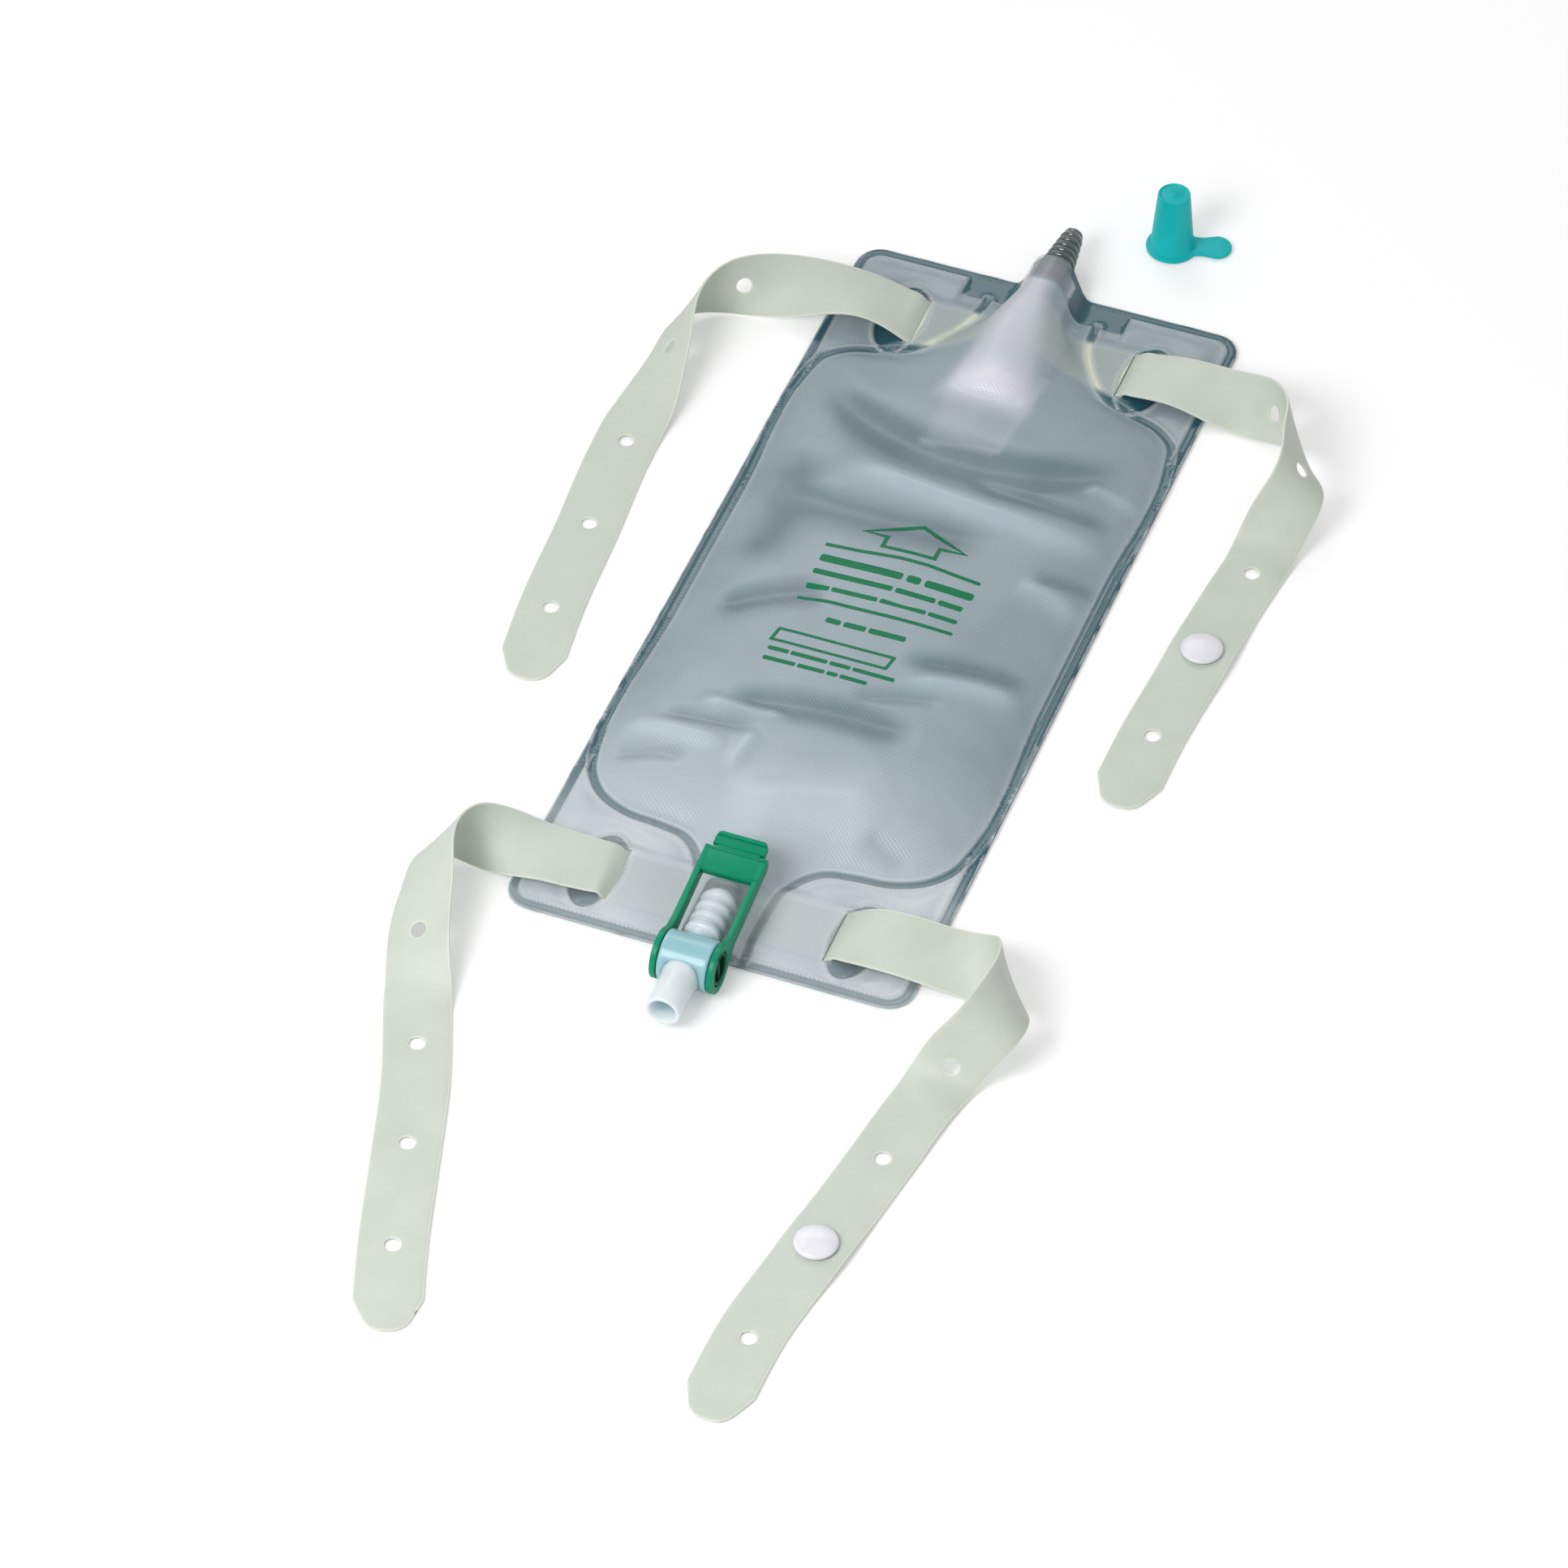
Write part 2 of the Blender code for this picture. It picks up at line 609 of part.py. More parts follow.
FILM = material("frosted_film", (0.36, 0.43, 0.48), 0.35, 0.72)
BACK = material("frosted_back_film", (0.33, 0.40, 0.45), 0.38, 0.8)
VALVE_FILM = material("inner_valve_film", (0.62, 0.58, 0.60), 0.3, 0.6)
LATEX = material("strap_latex", (0.60, 0.66, 0.56), 0.55)
CLEAR = material("clear_rigid_plastic", (0.55, 0.63, 0.63), 0.12, 0.5)
SOFT_CLEAR = material("soft_clear_tube", (0.62, 0.55, 0.54), 0.2, 0.6)
MILKY = material("milky_plastic", (0.58, 0.71, 0.73), 0.3)
GREEN = material("green_plastic", (0.0, 0.25, 0.13), 0.3)
DARK_GREEN = material("dark_green_plastic", (0.0, 0.13, 0.08), 0.35)
WHITE = material("white_plastic", (0.86, 0.86, 0.87), 0.35)
TEAL = material("teal_plastic", (0.0, 0.40, 0.42), 0.35)


def build_films():
    """Front film that swells from its welds and back film that lies under it."""
    flat, tris = film_flat(16.0, False)
    low = strap_hump(flat[:, 0], flat[:, 1])
    under = np.column_stack([flat, low])
    over = np.column_stack([flat, low + FILM_T])
    skin("back_film", flat, tris, under, over, BACK)
    flat, tris = film_flat(FILM_STEP, True)
    x, y = flat[:, 0], flat[:, 1]
    lift = FILM_T + GAP + soft_max(film_rise(x, y), strap_hump(x, y))
    under = np.column_stack([flat, lift])
    over = np.column_stack([flat, lift + FILM_T])
    skin("front_film", flat, tris, under, over, FILM)


# Straps
class Strap:
    """A flat strip laid along two edge curves."""

    def __init__(self, rows, middle_y, lying, turning):
        steps_per_row = 12
        table = spline(rows, steps_per_row)
        far, near = table[:, :3], table[:, 3:]
        centre = (far + near) / 2
        across = far - near
        steps = np.linalg.norm(np.diff(centre, axis=0), axis=1)
        self.s = np.r_[0.0, np.cumsum(steps)]
        self.length = float(self.s[-1])
        along = np.gradient(centre, self.s, axis=0)
        along /= np.linalg.norm(along, axis=1)[:, None]
        across -= along * (across * along).sum(1)[:, None]
        across /= np.linalg.norm(across, axis=1)[:, None]
        self.centre, self.across = centre, across
        self.middle_y = middle_y
        self.lifts = []
        first, last = lying * steps_per_row, (lying + turning) * steps_per_row
        self.turns = ((self.s[first], self.s[last]), (self.s[-last - 1], self.s[-first - 1]))

    def lay(self, s, w, n):
        """Points at a length along, a width across and a height off the strip."""
        out = np.array([np.interp(s, self.s, self.centre[:, k]) for k in range(3)]).T
        b = np.array([np.interp(s, self.s, self.across[:, k]) for k in range(3)]).T
        d = 0.5
        fore = np.array([np.interp(s + d, self.s, self.centre[:, k]) for k in range(3)]).T
        back = np.array([np.interp(s - d, self.s, self.centre[:, k]) for k in range(3)]).T
        t = fore - back
        t /= np.linalg.norm(t, axis=1)[:, None]
        b -= t * (b * t).sum(1)[:, None]
        b /= np.linalg.norm(b, axis=1)[:, None]
        up = np.cross(t, b)
        out = out + b * w[:, None]
        out[:, 2] = np.maximum(out[:, 2], STRAP_LIE)
        for at, height in self.lifts:
            out[:, 2] += height * np.exp(-(((s - at) / 13.0) ** 2))
        return out + up * n[:, None]


def lying_rows(turn, run):
    """Crosswise lines of the stretch that lies flat, from its centre line."""
    last = turn[-1]
    start = (last[:2] + last[3:5]) / 2
    line = np.vstack([start[None], run])
    width = last[:2] - last[3:5]
    width /= np.linalg.norm(width)
    rows = []
    for i in range(1, len(line)):
        a = line[i - 1]
        b = line[min(i + 1, len(line) - 1)]
        d = (b - a) / np.linalg.norm(b - a)
        side = np.array([-d[1], d[0]])
        if side @ width < 0:
            side = -side
        width = side
        far = line[i] + side * STRAP_W / 2
        near = line[i] - side * STRAP_W / 2
        rows.append((*far, STRAP_LIE, *near, STRAP_LIE))
    return rows


def slit_rows(side, cy):
    """Crosswise lines that take the strap from behind the bag up through its slit."""
    half = STRAP_W / 2
    steps = (
        (26.0, STRAP_LIE), (34.0, STRAP_LIE + 0.02), (37.2, STRAP_LIE + 0.15),
        (SLIT_X, 1.95), (41.4, 3.75),
    )
    return [(side * x, cy + half, z, side * x, cy - half, z) for x, z in steps]


def arm_rows(side, cy, turn, run):
    """Every crosswise line of one arm, from behind the bag to its tip."""
    turn = np.array(turn) + np.array([side * SLIT_X, cy, 0.0] * 2)
    run = np.array(run) + np.array([side * SLIT_X, cy])
    return slit_rows(side, cy) + list(turn) + lying_rows(turn, run)


def strap_rows(left_turn, left_run, right_turn, right_run, cy):
    """Every crosswise line of one strap, from its left tip to its right tip."""
    left = arm_rows(-1, cy, left_turn, left_run)
    right = arm_rows(1, cy, right_turn, right_run)
    middle = [(0.0, cy + STRAP_W / 2, STRAP_LIE, 0.0, cy - STRAP_W / 2, STRAP_LIE)]
    return left[::-1] + middle + right


def strap_stations(strap):
    """Lengths at which the pattern has a crosswise row, closer where it climbs a slit."""
    spots = [TIP_TAPER, *strap.turns[0], *strap.turns[1], strap.length - TIP_TAPER]
    even = []
    for i, (a, b) in enumerate(zip(spots, spots[1:])):
        step = TURN_STEP if i in (1, 3) else STRAP_STEP
        even += list(np.linspace(a, b, max(2, int((b - a) / step)), endpoint=False))
    even.append(spots[-1])
    middle = int(np.argmin(np.hypot(strap.centre[:, 0], strap.centre[:, 1] - strap.middle_y)))
    close = []
    for side in (-1, 1):
        x = side * strap.centre[middle::side, 0]
        s = strap.s[middle::side]
        for at in CLIMB_X:
            close.append(float(s[int(np.argmax(x >= at))]))
    even = [s for s in even if min(abs(s - c) for c in close) > TURN_STEP * 0.45]
    return sorted(even + close)


def build_strap(name, strap, holes):
    """Cut a flat strap pattern, then lay it on its curve."""
    half = STRAP_W / 2
    stations = strap_stations(strap)
    nose = ((4.2, half * 0.80), (1.3, half * 0.50), (0.0, half * 0.18))
    low = [(s, -w) for s, w in nose[::-1]] + [(s, -half) for s in stations]
    low += [(strap.length - s, -w) for s, w in nose]
    edge = np.array(low + [(s, -w) for s, w in low[::-1]])
    groups = [edge]
    lines = [(i, (i + 1) % len(edge)) for i in range(len(edge))]
    count = len(edge)
    for at in holes:
        turns = np.arange(12) * math.pi / 6
        ring = np.stack([at + HOLE_D / 2 * np.cos(turns), HOLE_D / 2 * np.sin(turns)], 1)
        lines += [(count + i, count + (i + 1) % 12) for i in range(12)]
        groups.append(ring)
        count += 12
    grid = [
        (s, w) for s in stations for w in (-half / 3, half / 3)
        if all(math.hypot(s - at, w) > HOLE_D / 2 + 1.6 for at in holes)
    ]
    groups.append(np.array(grid))

    def keep(s, w):
        hole = np.zeros(len(s), bool)
        for at in holes:
            hole |= np.hypot(s - at, w) < HOLE_D / 2
        return inside(s, w, edge) & ~hole

    flat, tris = mesh_flat(np.vstack(groups), lines, keep)
    s, w = flat[:, 0], flat[:, 1]
    n = np.full(len(s), STRAP_T / 2)
    skin(name, flat, tris, strap.lay(s, w, -n), strap.lay(s, w, n), LATEX, 40)


def hole_places(length, from_left, from_right):
    """Distances of the punched holes from the left tip."""
    left = [HOLE_END + HOLE_PITCH * k for k in range(from_left)]
    right = [length - HOLE_END - HOLE_PITCH * k for k in range(from_right)]
    return left + right


def build_button(name, at):
    """Domed button whose neck passes through a strap hole to a flat foot."""
    foot_top = 0.05 + BUTTON_FOOT_T
    seat = foot_top + 2 * GAP + STRAP_T
    r = BUTTON_D / 2
    profile = [
        (0.0, 0.05), (BUTTON_FOOT_D / 2, 0.05), (BUTTON_FOOT_D / 2, foot_top),
        (BUTTON_NECK_D / 2, foot_top), (BUTTON_NECK_D / 2, seat), (r - 0.5, seat),
        (r, seat + 0.5), (r - 0.2, seat + 1.1), (r * 0.72, seat + 1.9),
        (r * 0.38, seat + 2.3), (0.0, seat + BUTTON_H),
    ]
    revolve(name, profile, WHITE, 22, (at[0], at[1], 0.0))


def build_straps():
    """Both straps with their buttons on the right arms."""
    plans = (
        ("upper", UPPER_LEFT_TURN, UPPER_LEFT_RUN, UPPER_RIGHT_TURN, UPPER_RIGHT_RUN,
         SLIT_Y[0], HOLES_UPPER),
        ("lower", LOWER_LEFT_TURN, LOWER_LEFT_RUN, LOWER_RIGHT_TURN, LOWER_RIGHT_RUN,
         SLIT_Y[1], HOLES_LOWER),
    )
    for word, lt, lr, rt, rr, cy, count in plans:
        strap = Strap(strap_rows(lt, lr, rt, rr, cy), cy, len(lr), len(lt))
        holes = hole_places(strap.length, count, count)
        button = strap.length - HOLE_END - HOLE_PITCH
        lift = 0.05 + BUTTON_FOOT_T + GAP + STRAP_T / 2 - STRAP_LIE
        strap.lifts.append((button, lift))
        build_strap(word + "_strap", strap, holes)
        at = strap.lay(np.array([button]), np.array([0.0]), np.array([0.0]))[0]
        build_button(word + "_button", at)


# Inlet
def along_y(tilt=0.0):
    """Turn a piece made along +Z to lie along +Y, tipped up by some degrees."""
    return Matrix.Rotation(math.radians(-90.0 + tilt), 4, "X")


def build_inlet():
    """Soft sleeve between the films, ribbed taper connector in it and the flat inner valve."""
    y0 = INLET_SLEEVE_Y[0]
    length = INLET_SLEEVE_Y[1] - y0
    inner = CONNECTOR_FIT_D / 2 + GAP
    outer = INLET_SLEEVE_OD / 2
    profile = [
        (inner, 0.0), (outer - 0.3, 0.0), (outer, 0.6), (outer, length - 0.8),
        (outer - 0.3, length), (inner + 0.3, length), (inner, length - 0.5),
    ]
    at = (0.0, y0, INLET_Z)
    revolve("inlet_sleeve", profile, SOFT_CLEAR, 30, at, along_y(CONNECTOR_TILT))

    back = CONNECTOR_Y[0] - y0
    seat = length + 0.2
    tip = CONNECTOR_Y[1] - y0
    bore = CONNECTOR_BORE / 2
    r0 = CONNECTOR_FIT_D / 2
    r1 = CONNECTOR_TIP_D / 2
    profile = [(bore, back), (r0 - 0.8, back), (r0, back + 1.0), (r0, seat)]
    pitch = (tip - seat - 1.2) / CONNECTOR_RIBS
    for i in range(CONNECTOR_RIBS):
        r = r0 + (r1 - r0) * (i + 0.2) / CONNECTOR_RIBS
        low = r0 + (r1 - r0) * (i + 1.0) / CONNECTOR_RIBS - 0.5
        z = seat + pitch * i
        profile += [(r - 0.5, z + 0.3), (r, z + 1.0), (low, z + pitch)]
    profile += [(r1 - 0.3, tip - 0.5), (r1 - 0.4, tip), (bore, tip)]
    revolve("inlet_connector", profile, CLEAR, 22, at, along_y(CONNECTOR_TILT))

    rings = []
    sides = 24
    stations = 9
    for i in range(stations):
        t = i / (stations - 1)
        y = REFLUX_Y[0] + (REFLUX_Y[1] - REFLUX_Y[0]) * t
        e = float(smooth(t * 2.2))
        start = CONNECTOR_FIT_D / 2 + GAP
        hx = start + (REFLUX_MOUTH_W / 2 - REFLUX_T - start) * e
        hz = start + (REFLUX_MOUTH_H / 2 - REFLUX_T - start) * e
        z = INLET_Z + (REFLUX_MOUTH_Z - INLET_Z) * e
        rings.append((y, z, hx, hz))
    points = []
    for wall in (REFLUX_T, 0.0):
        for y, z, hx, hz in rings:
            for k in range(sides):
                a = 2 * math.pi * k / sides
                points.append((
                    (hx + wall) * math.cos(a), y, z + (hz + wall) * math.sin(a),
                ))
    total = stations * sides
    faces = []
    for i in range(stations - 1):
        for k in range(sides):
            j = (k + 1) % sides
            a, b = i * sides + k, i * sides + j
            faces.append((a, b, b + sides, a + sides))
            faces.append((total + a, total + a + sides, total + b + sides, total + b))
    for base in (0, (stations - 1) * sides):
        for k in range(sides):
            j = (k + 1) % sides
            faces.append((base + k, base + j, total + base + j, total + base + k))
    solid("reflux_valve", points, faces, VALVE_FILM, 50)


# Outlet valve
def build_valve_body():
    """Barrel with a straight nozzle, and a ringed stem that runs up into the bag."""
    side = Matrix.Rotation(math.radians(90.0), 4, "Y")
    half = BARREL_LEN / 2
    r = BARREL_D / 2
    at = (0.0, VALVE_Y, VALVE_Z)
    profile = [(0.0, -half), (r - 0.6, -half), (r, -half + 0.6), (r, half - 0.6),
               (r - 0.6, half), (0.0, half)]
    body = revolve("valve_body", profile, MILKY, 36, at, side)
    n = NOZZLE_D / 2
    nozzle = revolve("nozzle_tool", [
        (0.0, 2.0), (n + 0.4, 2.0), (n, 10.0), (n, NOZZLE_REACH - 0.5),
        (n - 0.4, NOZZLE_REACH), (0.0, NOZZLE_REACH),
    ], MILKY, 32, at, Matrix.Rotation(math.radians(90.0), 4, "X"))
    core = STEM_CORE_D / 2
    crest = STEM_RING_D / 2
    profile = [(0.0, 2.0), (core, 2.0)]
    pitch = (STEM_REACH - STEM_FOOT) / STEM_RINGS
    for i in range(STEM_RINGS):
        z = STEM_FOOT + pitch * i
        profile += [(core, z + 0.06 * pitch), (crest, z + 0.25 * pitch),
                    (crest, z + 0.6 * pitch), (core, z + 0.78 * pitch)]
    profile += [(core, STEM_REACH), (0.0, STEM_REACH)]
    stem = revolve("stem_tool", profile, MILKY, 22, at, along_y(), start=0.27)
    shape(body, nozzle, "UNION")
    shape(body, stem, "UNION")
    seat = revolve("rotor_bore_tool", [
        (0.0, -half - 2), (ROTOR_D / 2 + ROTOR_PLAY, -half - 2),
        (ROTOR_D / 2 + ROTOR_PLAY, half + 2), (0.0, half + 2),
    ], MILKY, 36, at, side, start=0.5)
    shape(body, seat, "DIFFERENCE")
    b = NOZZLE_BORE / 2
    out = revolve("nozzle_bore_tool", [
        (0.0, 2.4), (b, 2.4), (b, NOZZLE_REACH + 1), (0.0, NOZZLE_REACH + 1),
    ], MILKY, 32, at, Matrix.Rotation(math.radians(90.0), 4, "X"), start=0.31)
    shape(body, out, "DIFFERENCE")
    b = STEM_BORE / 2
    feed = revolve("stem_bore_tool", [
        (0.0, 2.7), (b, 2.7), (b, STEM_REACH + 1), (0.0, STEM_REACH + 1),
    ], MILKY, 22, at, along_y(), start=0.43)
    shape(body, feed, "DIFFERENCE")


def build_rotor(axis):
    """Hollow plug with a cross port; a key at each end turns it with the lever's ears."""
    half = BARREL_LEN / 2 + GAP + EAR_T - 0.1
    r = ROTOR_D / 2
    c = 0.4
    rotor = revolve("valve_rotor", [
        (0.0, -half), (r - c, -half), (r, -half + c), (r, half - c), (r - c, half), (0.0, half),
    ], DARK_GREEN, 36, (0, 0, 0), Matrix.Rotation(math.radians(90.0), 4, "Y"))
    pocket = r - PLUG_WALL
    tools = []
    for word, sign in (("left", -1), ("right", 1)):
        tools.append((revolve(word + "_pocket_tool", [
            (0.0, half - POCKET_DEPTH), (pocket, half - POCKET_DEPTH),
            (pocket, half + 2.0), (0.0, half + 2.0),
        ], DARK_GREEN, 26, (0, 0, 0), Matrix.Rotation(math.radians(90.0 * sign), 4, "Y")),
            "DIFFERENCE"))
        near, far = sign * (half - POCKET_DEPTH - 0.5), sign * (half - 0.5)
        tools.append((block(word + "_web_tool", (min(near, far), max(near, far)),
                            (-0.6, 0.6), (-pocket - 0.4, pocket + 0.4), DARK_GREEN), "UNION"))
        near, far = sign * (half - EAR_T + 0.2), sign * (half - 0.15)
        tools.append((block(word + "_key_tool", (min(near, far), max(near, far)),
                            (-KEY_W / 2, KEY_W / 2), (r - 0.8, r + KEY_RISE), DARK_GREEN),
                      "UNION"))
    tools.append((revolve("port_tool", [
        (0.0, -r - 1), (PORT_D / 2, -r - 1), (PORT_D / 2, r + 1), (0.0, r + 1),
    ], DARK_GREEN, 26), "DIFFERENCE"))
    for tool, operation in tools:
        shape(rotor, tool, operation)
        tool.parent = axis
    rotor.parent = axis


def build_lever(axis):
    """Two arms with ring ears, joined past the stem by a gripped plate, a neck and a tab."""
    inner = BARREL_LEN / 2 + GAP
    outer = inner + EAR_T
    ear = EAR_D / 2
    d = ARM_DEPTH
    top = d / 2
    arm = [
        (ear * math.cos(math.radians(a)), ear * math.sin(math.radians(a)))
        for a in np.linspace(40.0, 320.0, 21)
    ]
    arm += [
        (12.0, 0.3 - top), (PLATE_END - 1.5, 1.6 - top), (PLATE_END, 3.0 - top),
        (PLATE_END, top), (12.0, top + 0.2),
    ]
    lever = side_plate("valve_lever", arm, inner, outer, GREEN)
    tab_side = TAB_W / 2
    tab = [(-tab_side, LEVER_REACH - 5.5), (tab_side, LEVER_REACH - 5.5)]
    tab += corner_arc(tab_side - 3.0, LEVER_REACH - 3.0, 3.0, 0, 5)
    tab += corner_arc(3.0 - tab_side, LEVER_REACH - 3.0, 3.0, 90, 5)
    plate = (-outer + 0.01, outer - 0.01)
    grip = (-outer + 2.0, outer - 2.0)
    neck = (-NECK_W / 2, NECK_W / 2)
    tools = [
        block("plate_tool", plate, (PLATE_START, PLATE_END), (top - PLATE_T, top), GREEN),
        side_plate("left_arm_tool", arm, -outer, -inner, GREEN),
        block("neck_tool", neck, (PLATE_END - 1, LEVER_REACH - 4), (top - 2.4, top - 0.5), GREEN),
        prism("tab_tool", tab, top - 2.7, top + 0.2, GREEN),
    ]
    for i in range(GRIP_RIBS):
        y = PLATE_START + 1.6 + 2.6 * i
        tools.append(block(f"grip_tool_{i + 1}", grip, (y, y + 0.9), (top - 1, top + 0.45), GREEN))
    lean = Matrix.Rotation(math.radians(LEVER_TILT), 4, "X")
    lever.data.transform(lean)
    for tool in tools:
        tool.data.transform(lean)
        shape(lever, tool, "UNION")
    bore = revolve("ear_bore_tool", [
        (0.0, -outer - 2), (ROTOR_D / 2 + GAP, -outer - 2),
        (ROTOR_D / 2 + GAP, outer + 2), (0.0, outer + 2),
    ], GREEN, 36, (0, 0, 0), Matrix.Rotation(math.radians(90.0), 4, "Y"))
    slot = block("key_slot_tool", (-outer - 1, outer + 1), (-KEY_W / 2 - GAP, KEY_W / 2 + GAP),
                 (0.0, ROTOR_D / 2 + KEY_RISE + GAP), GREEN)
    for tool in (bore, slot):
        shape(lever, tool, "DIFFERENCE")
        tool.parent = axis
    for tool in tools:
        tool.parent = axis
    lever.parent = axis


def build_valve():
    """Barrel, plug and lever; the last two turn about the barrel's axis."""
    build_valve_body()
    axis = bpy.data.objects.new("lever_axis", None)
    axis.location = Vector((0.0, VALVE_Y, VALVE_Z)) * MM
    bpy.context.scene.collection.objects.link(axis)
    build_rotor(axis)
    build_lever(axis)


# Cap
def build_cap():
    """Tapered cap that stands on its flange, with a pull tab and a thin rim on top."""
    top = CAP_H
    r_top = CAP_TOP_D / 2
    r_base = CAP_BASE_D / 2
    flange = CAP_FLANGE_D / 2
    profile = [
        (0.0, 0.0), (flange - 0.3, 0.0), (flange, 0.4),
        (flange, CAP_FLANGE_T - 0.3), (flange - 0.3, CAP_FLANGE_T),
        (r_base + 0.4, CAP_FLANGE_T), (r_base, CAP_FLANGE_T + 0.6),
        (r_top, top - 0.4), (r_top - 0.4, top), (r_top - 0.8, top),
        (r_top - 1.1, top - 0.4), (1.1, top - 0.4), (0.7, top - 0.1), (0.0, top - 0.1),
    ]
    cap = revolve("inlet_cap", profile, TEAL, 28, (CAP_AT[0], CAP_AT[1], 0.0))
    inner = [
        (0.0, -1.0), (r_base - CAP_WALL, -1.0), (r_base - CAP_WALL, 0.0),
        (r_top - CAP_WALL, top - 2.0), (0.0, top - 2.0),
    ]
    hollow = revolve("cap_hollow_tool", inner, TEAL, 28, (CAP_AT[0], CAP_AT[1], 0.0))
    reach = CAP_TAB_REACH
    half = CAP_TAB_W / 2
    waist = half * 0.82
    outline = [(flange - 3.0, -waist), (flange + 1.6, -waist)]
    for i in range(13):
        a = math.radians(-90.0 + 15.0 * i)
        outline.append((reach + half * math.cos(a) * 0.98, half * math.sin(a)))
    outline += [(flange + 1.6, waist), (flange - 3.0, waist)]
    tab = prism("cap_tab_tool", outline, 0.0, CAP_FLANGE_T, TEAL)
    tab.rotation_euler = (0.0, 0.0, math.radians(CAP_TAB_DIR))
    tab.location = Vector((CAP_AT[0], CAP_AT[1], 0.0)) * MM
    shape(cap, tab, "UNION")
    shape(cap, hollow, "DIFFERENCE")


def main():
    for old in list(bpy.data.objects):
        bpy.data.objects.remove(old, do_unlink=True)
    build_films()
    build_straps()
    build_inlet()
    build_valve()
    build_cap()


if __name__ == "__main__":
    main()
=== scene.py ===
"""Urine drainage leg bag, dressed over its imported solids: films, straps, inlet, valve and cap."""

import math

import bmesh
import bpy
import numpy as np
from mathutils import Matrix, Vector
from mathutils.geometry import delaunay_2d_cdt
from mathutils.kdtree import KDTree


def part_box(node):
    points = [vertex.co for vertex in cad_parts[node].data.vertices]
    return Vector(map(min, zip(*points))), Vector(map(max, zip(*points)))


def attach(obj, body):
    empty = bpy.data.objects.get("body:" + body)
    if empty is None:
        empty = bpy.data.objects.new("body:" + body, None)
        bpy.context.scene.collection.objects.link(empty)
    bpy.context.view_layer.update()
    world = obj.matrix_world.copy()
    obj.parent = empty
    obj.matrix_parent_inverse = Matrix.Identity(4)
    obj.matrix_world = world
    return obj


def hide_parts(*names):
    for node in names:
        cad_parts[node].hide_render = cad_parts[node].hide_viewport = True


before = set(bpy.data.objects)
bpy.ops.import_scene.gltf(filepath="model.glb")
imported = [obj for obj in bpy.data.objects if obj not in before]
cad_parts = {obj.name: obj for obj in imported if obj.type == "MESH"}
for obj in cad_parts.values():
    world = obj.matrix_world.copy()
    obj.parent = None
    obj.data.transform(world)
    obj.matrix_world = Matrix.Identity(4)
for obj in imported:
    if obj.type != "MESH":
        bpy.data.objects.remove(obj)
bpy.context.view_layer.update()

bl_info = {
    "name": "Urine Drainage Bag",
    "version": (1, 0, 0),
    "blender": (4, 5, 0),
    "location": "View3D > Sidebar > Leg Bag",
    "description": "Welded film leg bag with latex straps, inlet connector, flip valve and cap",
    "category": "Object",
}

# Lengths are in millimetres here and become metres in the meshes. The bag lies on its
# back on z = 0, +Y runs to the inlet, +X to the right of the printed front.
MM = 0.001
GAP = 0.3


def node_box(name):
    """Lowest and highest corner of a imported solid, in millimetres."""
    low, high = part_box(name)
    return np.array(low) / MM, np.array(high) / MM


HALF_W = float(node_box("back_film")[1][0])
HALF_L = float(node_box("back_film")[1][1])
CORNER_R = 9.0
FILM_T = 0.35
SEAM_WELD = 3.0
EDGE_WELD = 3.0
POUCH_X = HALF_W - 3.6
UPPER_TAB = HALF_L - 50.0
LOWER_TAB = 52.0 - HALF_L
POUCH_SIDE = (
    (20.0, UPPER_TAB + 38.0), (21.6, UPPER_TAB + 26.0), (27.0, UPPER_TAB + 14.0),
    (34.5, UPPER_TAB + 5.0), (46.0, UPPER_TAB), (POUCH_X - 9.5, UPPER_TAB - 4.0),
    (POUCH_X - 2.6, UPPER_TAB - 10.5), (POUCH_X, UPPER_TAB - 20.5),
    (POUCH_X, 40.0), (POUCH_X, -30.0), (POUCH_X, LOWER_TAB + 23.5),
    (POUCH_X - 2.6, LOWER_TAB + 13.5), (POUCH_X - 9.5, LOWER_TAB + 4.5),
    (47.0, LOWER_TAB - 0.5), (34.0, LOWER_TAB - 2.0), (24.5, LOWER_TAB - 4.0),
    (17.8, LOWER_TAB - 10.5), (14.6, LOWER_TAB - 18.5), (13.6, LOWER_TAB - 32.0),
    (13.6, -HALF_L),
)
